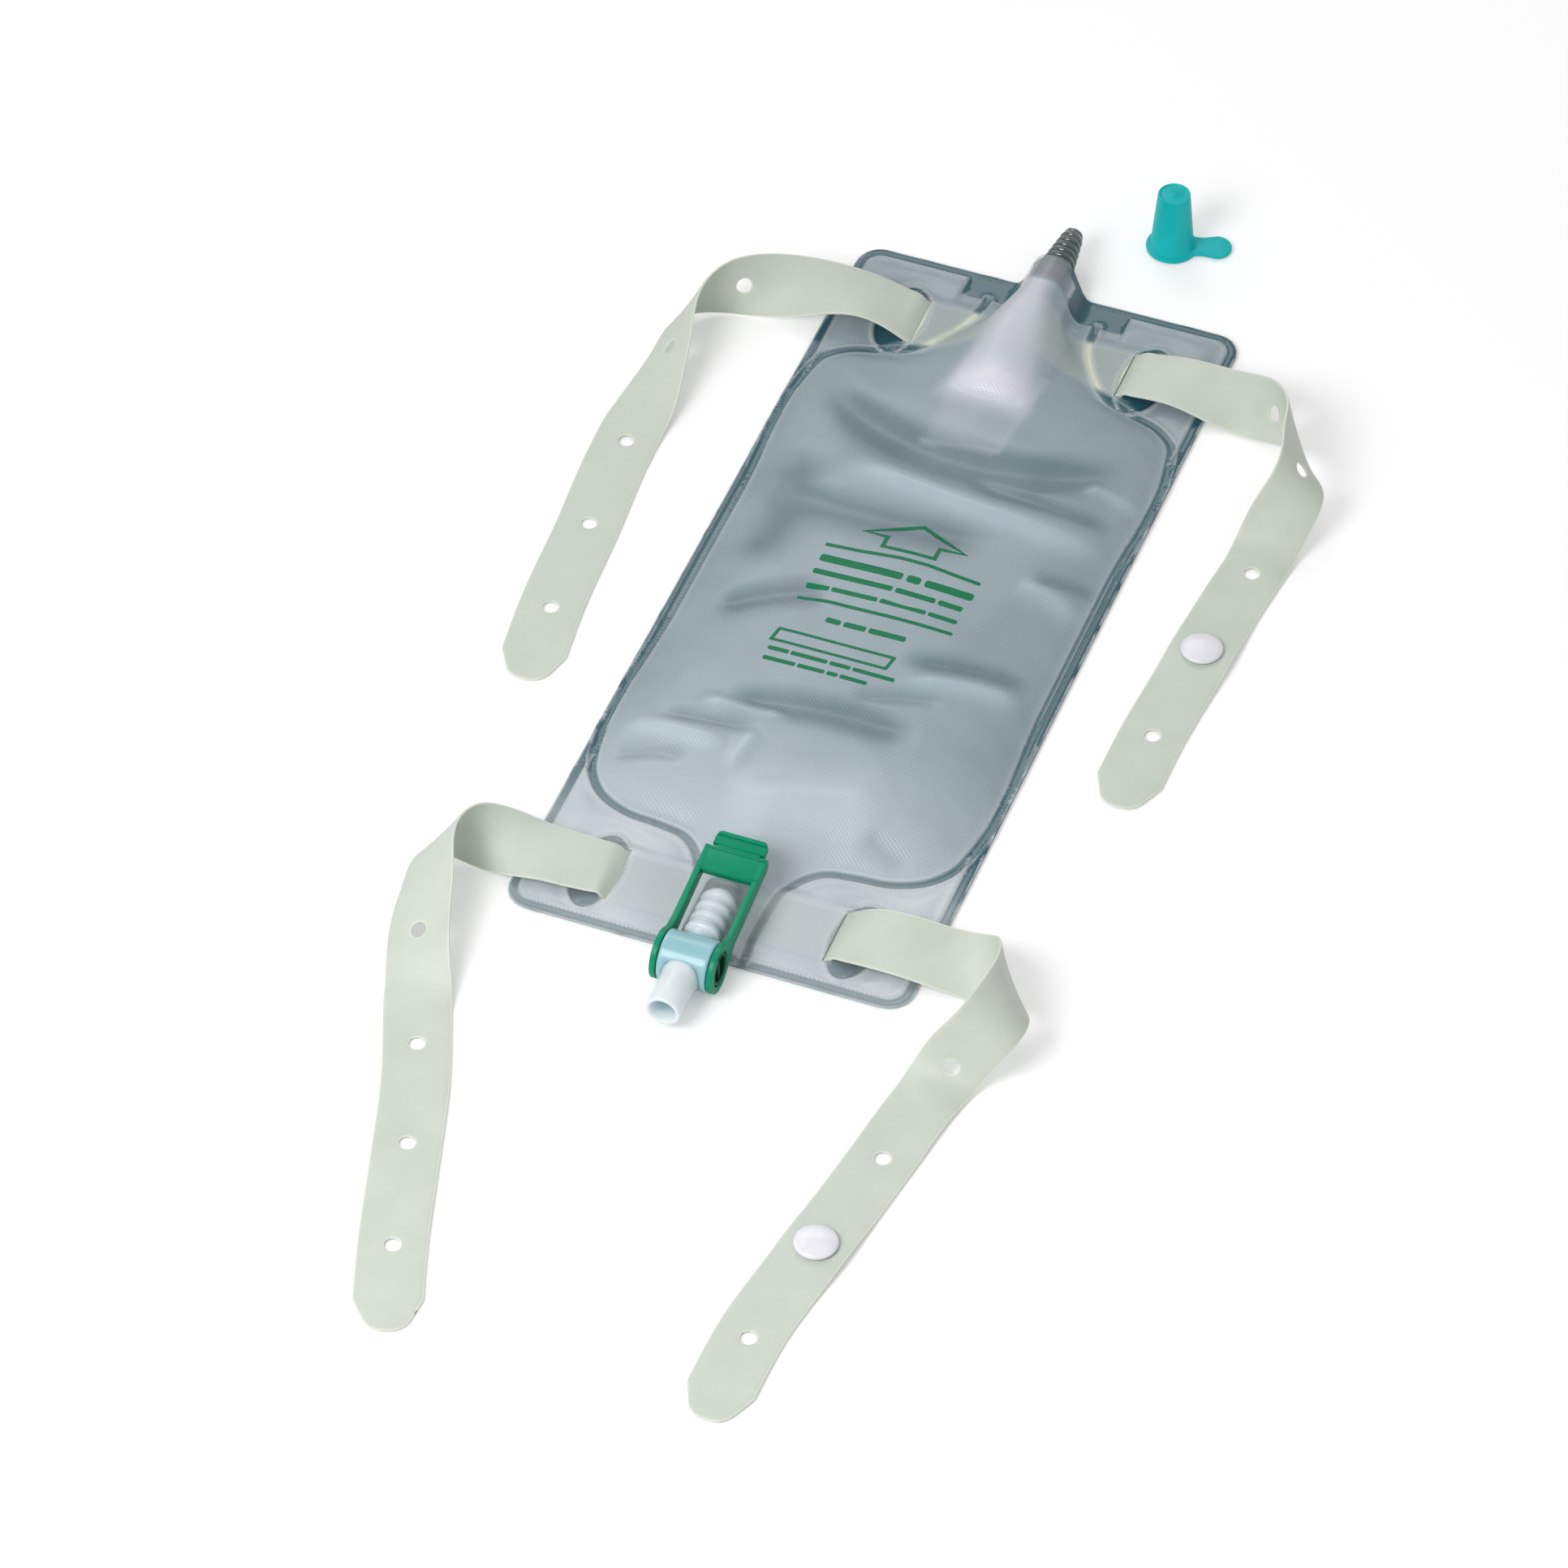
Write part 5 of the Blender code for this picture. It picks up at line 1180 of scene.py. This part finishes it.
class LEGBAG_OT_straps(bpy.types.Operator):
    """Two latex straps that pass behind the bag, up through its slits and round to their tips"""
    bl_idname = "legbag.straps"
    bl_label = "Straps"

    def execute(self, context):
        s = context.scene.legbag_strap
        width, thick, hole_d = s.width / MM, s.thickness / MM, s.hole / MM
        look = latex_surface("natural latex sheet, cast and cut", s.latex, s.cut_edge_highlight)
        for word, plan in STRAP_PLANS.items():
            strap, _ = make_strap(width, plan)
            edge = divide(strap_outline(strap.length, width / 2), 1.6, True)
            count = HOLES[word]
            centres = [HOLE_END + HOLE_PITCH * k for k in range(count)]
            centres += [strap.length - HOLE_END - HOLE_PITCH * k for k in range(count)]
            turns = np.linspace(0, 2 * math.pi, 40, endpoint=False)
            circle = np.stack([np.cos(turns), np.sin(turns)], 1)
            holes = [circle * hole_d / 2 + (at, 0.0) for at in centres]
            rims = [circle * (hole_d / 2 + 0.55) + (at, 0.0) for at in centres]
            near = inset(edge, 0.55)
            stations = np.linspace(0.0, strap.length, int(strap.length / 1.7))
            grid = np.array([(at, w) for at in stations for w in np.linspace(-9.4, 9.4, 12)])
            grid = grid[inside(grid[:, 0], grid[:, 1], near)]
            fixed = np.vstack([edge, near] + rims + holes)
            grid = grid[clear_of(grid, fixed, 0.9)]
            extra = np.vstack([near, grid] + rims)

            def keep(u, v):
                ok = inside(u, v, edge)
                for at in centres:
                    ok &= np.hypot(u - at, v) > hole_d / 2 * 0.995
                return ok

            flat, tris = flat_triangles([edge] + holes, extra, keep)
            u, v = flat[:, 0], flat[:, 1]
            rim = np.minimum.reduce([np.abs(np.hypot(u - at, v) - hole_d / 2) for at in centres])
            rim = np.minimum(rim, segment_distance(u, v, np.vstack([edge, edge[:1]])))
            n = np.full(len(u), thick / 2)
            n -= 0.16 * (rim < 0.05)
            count = len(flat)
            faces = [tuple(t[::-1]) for t in tris] + [tuple(t + count) for t in tris]
            pairs = {}
            for t in tris:
                for a, b in ((t[0], t[1]), (t[1], t[2]), (t[2], t[0])):
                    pairs[(int(a), int(b))] = True
            faces += [(a, b, b + count, a + count) for a, b in pairs if (b, a) not in pairs]
            points = np.vstack([strap.lay(u, v, -n), strap.lay(u, v, n)])
            # Cut rims of the strap, which get the painted edge highlight
            cut = np.tile((rim < 0.05).astype(float), 2)
            add_piece(word + "_latex_strap", (points, faces), (look,),
                      (word + "_strap",), sharp=55, marks={"cut": cut})
        return {"FINISHED"}


class LEGBAG_OT_buttons(bpy.types.Operator):
    """White buttons whose necks pass through a strap hole"""
    bl_idname = "legbag.buttons"
    bl_label = "Buttons"

    def execute(self, context):
        s = context.scene.legbag_strap
        look = moulded_surface("white acetal, moulded", s.button, 0.26, 0.6, Coat_Weight=0.2)
        for word, plan in STRAP_PLANS.items():
            strap, button = make_strap(s.width / MM, plan)
            at = strap.lay(np.array([button]), np.zeros(1), np.zeros(1))[0]
            foot, neck, r = BUTTON_FOOT_D / 2, BUTTON_NECK_D / 2, BUTTON_D / 2
            top = BUTTON_FOOT_TOP
            seat = top + 2 * GAP + s.thickness / MM
            profile = [
                (0.0, 0.05), (foot - 0.2, 0.05), (foot, 0.2), (foot, top - 0.15),
                (foot - 0.2, top), (neck, top), (neck, seat), (r - 0.7, seat),
                (r - 0.2, seat + 0.2),
                (r, seat + 0.6), (r - 0.1, seat + 1.0), (r - 0.45, seat + 1.35),
                (r - 1.2, seat + 1.7), (r * 0.62, seat + 2.1), (r * 0.3, seat + 2.32),
                (0.0, seat + 2.4),
            ]
            part = turned(profile, 72, Matrix.Translation((at[0], at[1], 0.0)))
            add_piece(word + "_white_button", part, (look,),
                      (word + "_button",), sharp=45)
        return {"FINISHED"}


# Inlet
def along_y(tilt=0.0, at=(0.0, 0.0, 0.0)):
    """Place for a piece made along +Z that lies along +Y, tipped up by some degrees."""
    return Matrix.Translation(at) @ Matrix.Rotation(math.radians(-90.0 + tilt), 4, "X")


class LEGBAG_OT_inlet(bpy.types.Operator):
    """Soft sleeve welded between the films and the ribbed connector pushed into it"""
    bl_idname = "legbag.inlet"
    bl_label = "Inlet"

    def execute(self, context):
        s = context.scene.legbag_inlet
        y0 = SLEEVE_Y[0]
        reach = SLEEVE_Y[1] - y0
        inner, outer = CONNECTOR_FIT_D / 2 + GAP, SLEEVE_OD / 2
        place = along_y(CONNECTOR_TILT, (0.0, y0, INLET_Z))
        profile = [
            (inner, 0.0), (outer - 0.4, 0.0), (outer, 0.5), (outer - 0.05, reach * 0.4),
            (outer - 0.1, reach - 2.2), (outer, reach - 1.2), (outer - 0.15, reach - 0.3),
            (outer - 0.5, reach), (inner + 0.2, reach), (inner, reach - 0.4),
        ]
        sleeve = moulded_surface("soft clear PVC tube, extruded", s.sleeve, 0.16, 0.8,
                                 Alpha=0.55, Coat_Weight=0.5, Coat_Roughness=0.08)
        add_piece("soft_inlet_sleeve", turned(profile, 64, place), (sleeve,),
                  ("inlet_sleeve",), sharp=50)
        back = CONNECTOR_Y[0] - y0
        seat = reach + 0.2
        tip = CONNECTOR_Y[1] - y0
        bore, r0, r1 = CONNECTOR_BORE / 2, CONNECTOR_FIT_D / 2, CONNECTOR_TIP_D / 2
        profile = [(bore, back), (r0 - 0.8, back), (r0, back + 1.0), (r0, seat)]
        pitch = (tip - seat - 1.2) / CONNECTOR_RIBS
        for i in range(CONNECTOR_RIBS):
            r = r0 + (r1 - r0) * (i + 0.2) / CONNECTOR_RIBS
            low = r0 + (r1 - r0) * (i + 1.0) / CONNECTOR_RIBS - 0.5
            z = seat + pitch * i
            profile += [(r - 0.5, z + 0.3), (r - 0.12, z + 0.6), (r, z + 1.0),
                        (r - 0.06, z + 1.5), (low + 0.1, z + pitch - 0.4), (low, z + pitch)]
        profile += [(r1 - 0.3, tip - 0.6), (r1 - 0.45, tip - 0.15), (r1 - 0.75, tip),
                    (bore + 0.2, tip), (bore, tip - 0.3)]
        clear = moulded_surface("clear rigid PVC, moulded", s.connector, 0.1, 0.7,
                                Alpha=0.82, Coat_Weight=1.0, Coat_Roughness=0.04,
                                Specular_IOR_Level=0.8)
        add_piece("ribbed_connector", turned(profile, 64, place), (clear,),
                  ("inlet_connector",), sharp=50)
        return {"FINISHED"}


# Outlet valve
class LEGBAG_OT_valve_body(bpy.types.Operator):
    """Milky barrel with its nozzle and the ringed stem that runs up into the bag"""
    bl_idname = "legbag.valve_body"
    bl_label = "Valve body"

    def execute(self, context):
        s = context.scene.legbag_valve
        at = (0.0, VALVE_Y, VALVE_Z)
        side = Matrix.Translation(at) @ Matrix.Rotation(math.radians(90.0), 4, "Y")
        down = Matrix.Translation(at) @ Matrix.Rotation(math.radians(90.0), 4, "X")
        half, r, bore = BARREL_LEN / 2, BARREL_D / 2, ROTOR_D / 2 + 0.15
        rim = [(r - 0.75, half), (r - 0.5, half - 0.05), (r - 0.15, half - 0.35),
               (r, half - 0.75)]
        profile = [(bore, -half)] + [(a, -b) for a, b in rim]
        profile += [(r - 0.06, -half + 2.0), (r - 0.06, half - 2.0)]
        profile += rim[::-1] + [(bore, half)]
        barrel = turned(profile, 96, side)
        n, b = NOZZLE_D / 2, NOZZLE_BORE / 2
        profile = [
            (b, 7.0), (n + 0.8, 7.0), (n + 0.6, 8.4), (n + 0.25, 9.2), (n + 0.05, 10.0),
            (n, 11.0), (n, NOZZLE_REACH - 0.7), (n - 0.12, NOZZLE_REACH - 0.3),
            (n - 0.4, NOZZLE_REACH), (b + 0.3, NOZZLE_REACH), (b, NOZZLE_REACH - 0.3),
        ]
        nozzle = turned(profile, 80, down)
        core, crest, b = STEM_CORE_D / 2, STEM_RING_D / 2, STEM_BORE / 2
        profile = [(b, 7.0), (core, 7.0), (core, STEM_FOOT)]
        pitch = (STEM_REACH - STEM_FOOT) / STEM_RINGS
        for i in range(STEM_RINGS):
            z = STEM_FOOT + pitch * i
            for share_z, lift in ((0.08, 0.0), (0.17, 0.6), (0.28, 0.93), (0.42, 1.0),
                                  (0.56, 0.93), (0.68, 0.6), (0.78, 0.0)):
                profile.append((core + (crest - core) * lift, z + share_z * pitch))
        profile += [(core, STEM_REACH - 0.3), (core - 0.3, STEM_REACH), (b, STEM_REACH)]
        stem = turned(profile, 64, along_y(0.0, at))
        part = together(barrel, nozzle, stem)
        p = part[0] - np.array(at)
        reach = np.hypot(p[:, 1], p[:, 2])
        tint = smooth((10.6 - reach) / 2.6) * (np.abs(p[:, 0]) < half + 0.1)
        look, tree, shader = new_surface("milky LDPE, moulded", IOR=1.51, Coat_Weight=0.35,
                                         Coat_Roughness=0.12, Subsurface_Weight=0.6,
                                         Subsurface_Radius=(1.0, 1.0, 1.0),
                                         Subsurface_Scale=0.004)
        mottle(tree, shader, s.body, (0.94, 1.04), (0.26, 0.4), (0.12, 0.00008),
               noise(tree, 180.0, 2.0), over=("plug_behind", s.barrel))
        add_piece("milky_valve_body", part, (look,), ("valve_body",),
                  sharp=50, marks={"plug_behind": tint})
        return {"FINISHED"}


class LEGBAG_OT_rotor(bpy.types.Operator):
    """Hollow green plug with a web across each pocket and a key at each end"""
    bl_idname = "legbag.rotor"
    bl_label = "Rotor"

    def execute(self, context):
        s = context.scene.legbag_valve
        at = Matrix.Translation((0.0, VALVE_Y, VALVE_Z))
        half = BARREL_LEN / 2 + GAP + EAR_T - 0.1
        r, c, pocket, deep = ROTOR_D / 2, 0.35, ROTOR_D / 2 - 1.2, half - 5.6
        profile = [
            (0.0, -deep), (pocket, -deep), (pocket, -half + 0.3), (pocket + 0.3, -half),
            (r - c, -half), (r, -half + c), (r, half - c), (r - c, half),
            (pocket + 0.3, half), (pocket, half - 0.3), (pocket, deep), (0.0, deep),
        ]
        parts = [turned(profile, 72, at @ Matrix.Rotation(math.radians(90.0), 4, "Y"))]
        for sign in (-1, 1):
            ends = sorted((sign * (deep - 0.5), sign * (half - 0.6)))
            web = box_plate(ends, (-0.6, 0.6), (-pocket - 0.3, pocket + 0.3), 0.15)
            ends = sorted((sign * (half - EAR_T + 0.2), sign * (half - 0.15)))
            key = box_plate(ends, (-1.1, 1.1), (r - 0.8, r + 0.9), 0.2)
            parts += [moved(web, at), moved(key, at)]
        look = moulded_surface("dark green acetal, moulded", s.rotor, 0.32, 0.6,
                               Specular_IOR_Level=0.3)
        add_piece("green_rotor", together(*parts), (look,),
                  ("valve_rotor",), body="lever", sharp=40)
        return {"FINISHED"}


class LEGBAG_OT_lever(bpy.types.Operator):
    """Green lever with two ring ears, side arms, a gripped plate and a thumb tab"""
    bl_idname = "legbag.lever"
    bl_label = "Lever"

    def execute(self, context):
        s = context.scene.legbag_valve
        inner = BARREL_LEN / 2 + GAP
        outer = inner + EAR_T
        ear, d = EAR_D / 2, ARM_DEPTH
        top = d / 2
        arm = [(ear * math.cos(a), ear * math.sin(a))
               for a in np.radians(np.linspace(40.0, 320.0, 49))]
        arm += [(9.4, -4.1), (12.0, 0.3 - top), (24.0, 0.9 - top), (PLATE_Y[1] - 1.5, 1.6 - top),
                (PLATE_Y[1] - 0.4, 2.2 - top), (PLATE_Y[1], 3.2 - top), (PLATE_Y[1], top),
                (12.0, top + 0.2), (8.6, 4.2)]
        bore = ROTOR_D / 2 + GAP
        slot_half = math.degrees(math.asin(1.4 / bore))
        hole = [(bore * math.cos(a), bore * math.sin(a))
                for a in np.radians(np.linspace(90.0 + slot_half, 450.0 - slot_half, 48))]
        hole += [(1.4, bore + 0.9), (-1.4, bore + 0.9)]
        parts = []
        for x0, x1 in ((inner, outer), (-outer, -inner)):
            parts.append(moved(plate(arm, x0, x1, 0.32, (hole,)), SIDEWAYS))
        edge = outer - 0.06
        parts.append(box_plate((-edge, edge), PLATE_Y, (top - PLATE_T, top), 0.35))
        for ends in ((PLATE_Y[0] + 0.5, PLATE_Y[0] + 1.2), (PLATE_Y[1] - 1.2, PLATE_Y[1] - 0.4)):
            parts.append(box_plate((-edge + 0.5, edge - 0.5), ends, (top - 1.0, top + 0.32), 0.25))
        neck = NECK_W / 2 - 0.6
        parts.append(box_plate((-neck, neck), (PLATE_Y[1] - 1.0, LEVER_REACH - 3.6),
                               (top - 2.5, top - 0.9), 0.25))
        t = TAB_W / 2
        low_y = LEVER_REACH - 4.9
        tab = [(-t, low_y), (t, low_y)]
        tab += corner_arc(t - 2.2, LEVER_REACH - 2.2, 2.2, 0, 8)
        tab += corner_arc(2.2 - t, LEVER_REACH - 2.2, 2.2, 90, 8)
        parts.append(plate(tab, top - 2.7, top - 0.5, 0.35))
        lip = [(-t + 0.4, LEVER_REACH - 1.5), (t - 0.4, LEVER_REACH - 1.5)]
        lip += corner_arc(t - 2.2, LEVER_REACH - 2.2, 2.2, 30, 5)[:4]
        lip += corner_arc(2.2 - t, LEVER_REACH - 2.2, 2.2, 60, 5)[1:5]
        parts.append(plate(lip, top - 1.2, top + 0.2, 0.3))
        lean = Matrix.Rotation(math.radians(LEVER_TILT), 4, "X")
        place = Matrix.Translation((0.0, VALVE_Y, VALVE_Z)) @ lean
        look = moulded_surface("green polypropylene, moulded", s.lever, 0.3, 0.7,
                               Specular_IOR_Level=0.25)
        add_piece("green_lever", moved(together(*parts), place), (look,),
                  ("valve_lever",), body="lever", sharp=35)
        return {"FINISHED"}


# Cap
class LEGBAG_OT_cap(bpy.types.Operator):
    """Hollow tapered cap with a flange, a pull tab and a thin rim on top"""
    bl_idname = "legbag.cap"
    bl_label = "Cap"

    def execute(self, context):
        s = context.scene.legbag_inlet
        top, r_top, r_base = CAP_H, CAP_TOP_D / 2, CAP_BASE_D / 2
        flange = CAP_FLANGE_D / 2
        t = CAP_FLANGE_T
        profile = [
            (0.0, top - 2.0), (r_top - CAP_WALL, top - 2.0), (r_base - CAP_WALL, 0.0),
            (flange - 0.35, 0.0), (flange - 0.08, 0.12), (flange, 0.4), (flange, t - 0.4),
            (flange - 0.1, t - 0.12), (flange - 0.4, t), (r_base + 0.9, t),
            (r_base + 0.3, t + 0.25), (r_base - 0.05, t + 1.0), (r_top + 0.25, top - 3.0),
            (r_top, top - 0.45), (r_top - 0.14, top - 0.1), (r_top - 0.45, top),
            (r_top - 0.8, top - 0.12), (r_top - 1.05, top - 0.45), (1.1, top - 0.45),
            (0.8, top - 0.2), (0.0, top - 0.1),
        ]
        cup = turned(profile, 96)
        reach, half = CAP_TAB_REACH, CAP_TAB_W / 2
        waist = half * 0.8
        outline = [(flange - 2.6, -waist - 0.4), (flange + 1.0, -waist)]
        outline += [(flange + 2.6, -waist - 0.15)]
        for a in np.radians(np.linspace(-90.0, 90.0, 25)):
            outline.append((reach + half * math.cos(a) * 0.98, half * math.sin(a)))
        outline += [(flange + 2.6, waist + 0.15), (flange + 1.0, waist)]
        outline += [(flange - 2.6, waist + 0.4)]
        tab = plate(outline, 0.0, t - 0.02, 0.4)
        place = Matrix.Translation((CAP_AT[0], CAP_AT[1], 0.0))
        place = place @ Matrix.Rotation(math.radians(CAP_TAB_DIR), 4, "Z")
        look = moulded_surface("teal LDPE, moulded", s.cap, 0.34, 0.8, Specular_IOR_Level=0.25)
        add_piece("teal_cap", moved(together(cup, tab), place), (look,),
                  ("inlet_cap",), sharp=40)
        return {"FINISHED"}


# Stage, in metres
CAMERA_AT = (0.6485, -1.7933, 1.8817)
CAMERA_AIM = Vector((-0.0029, -0.08745, 0.0))
CAMERA_LENS = 182.1
LAMP_AIM = Vector((0.0, -0.07, 0.0))


def aimed(name, data, place, target):
    """Link a lamp or a camera that looks at a point."""
    thing = bpy.data.objects.new(name, data)
    thing.location = place
    look = (target - thing.location).to_track_quat("-Z", "Y")
    thing.rotation_euler = look.to_euler()
    bpy.context.scene.collection.objects.link(thing)
    return thing


class LEGBAG_OT_stage(bpy.types.Operator):
    """Pale floor, soft lights and the camera"""
    bl_idname = "legbag.stage"
    bl_label = "Stage"

    def execute(self, context):
        s = context.scene.legbag_stage
        mesh = bpy.data.meshes.new("floor")
        mesh.from_pydata([(-9, -9, 0), (9, -9, 0), (9, 9, 0), (-9, 9, 0)], [], [(0, 1, 2, 3)])
        floor = bpy.data.objects.new("floor", mesh)
        floor.location.z = -0.0004
        context.scene.collection.objects.link(floor)
        look, tree, shader = new_surface("matt paper sweep", Roughness=0.9)
        shader.inputs["Base Color"].default_value = rgba(s.floor)
        shader.inputs["Emission Color"].default_value = (1.0, 1.0, 1.0, 1.0)
        seen = add_node(tree, "ShaderNodeLightPath", out="Is Camera Ray")
        feed(tree, shader, "Emission Strength", maths(tree, "MULTIPLY", seen, 0.22))
        mesh.materials.append(look)

        world = bpy.data.worlds.new("studio")
        world.use_nodes = True
        tree = world.node_tree
        back = tree.nodes["Background"]
        seen = add_node(tree, "ShaderNodeLightPath", out="Is Camera Ray")
        feed(tree, back, "Strength", level(tree, seen, s.sky, 1.0))
        back.inputs["Color"].default_value = (1.0, 1.0, 1.0, 1.0)
        context.scene.world = world

        for name, place, size, power in (
            ("softbox_front", (-0.35, -0.95, 0.98), (0.6, 0.6), s.key),
            ("softbox_behind", (-0.9, 1.5, 1.7), (1.2, 0.8), s.fill),
        ):
            data = bpy.data.lights.new(name, "AREA")
            data.shape = "RECTANGLE"
            data.size, data.size_y = size
            data.energy = power
            aimed(name, data, place, LAMP_AIM)

        data = bpy.data.cameras.new("camera")
        data.lens = CAMERA_LENS
        data.sensor_width = 36.0
        context.scene.camera = aimed("camera", data, CAMERA_AT, CAMERA_AIM)
        context.scene.view_settings.view_transform = "Standard"
        return {"FINISHED"}


class LEGBAG_PT_panel(bpy.types.Panel):
    """Lists every step of the bag in the order they are made"""
    bl_label = "Leg Bag"
    bl_idname = "LEGBAG_PT_panel"
    bl_space_type = "VIEW_3D"
    bl_region_type = "UI"
    bl_category = "Leg Bag"

    def draw(self, context):
        for name, group in SETTINGS.items():
            box = self.layout.box()
            values = getattr(context.scene, name)
            for key in group.__annotations__:
                box.prop(values, key)
        for step in STEPS:
            self.layout.operator(step.bl_idname)


SETTINGS = {
    "legbag_film": FilmSettings,
    "legbag_strap": StrapSettings,
    "legbag_print": PrintSettings,
    "legbag_inlet": InletSettings,
    "legbag_valve": ValveSettings,
    "legbag_stage": StageSettings,
}
STEPS = (
    LEGBAG_OT_stage, LEGBAG_OT_films, LEGBAG_OT_reflux_valve, LEGBAG_OT_print,
    LEGBAG_OT_straps, LEGBAG_OT_buttons, LEGBAG_OT_inlet, LEGBAG_OT_valve_body,
    LEGBAG_OT_rotor, LEGBAG_OT_lever, LEGBAG_OT_cap,
)


def register():
    for item in (*SETTINGS.values(), *STEPS, LEGBAG_PT_panel):
        bpy.utils.register_class(item)
    for name, group in SETTINGS.items():
        setattr(bpy.types.Scene, name, bpy.props.PointerProperty(type=group))


def unregister():
    for name in SETTINGS:
        delattr(bpy.types.Scene, name)
    for item in reversed((*SETTINGS.values(), *STEPS, LEGBAG_PT_panel)):
        bpy.utils.unregister_class(item)


def main():
    register()
    for step in STEPS:
        getattr(bpy.ops.legbag, step.bl_idname.split(".")[1])()


if __name__ == "__main__":
    main()
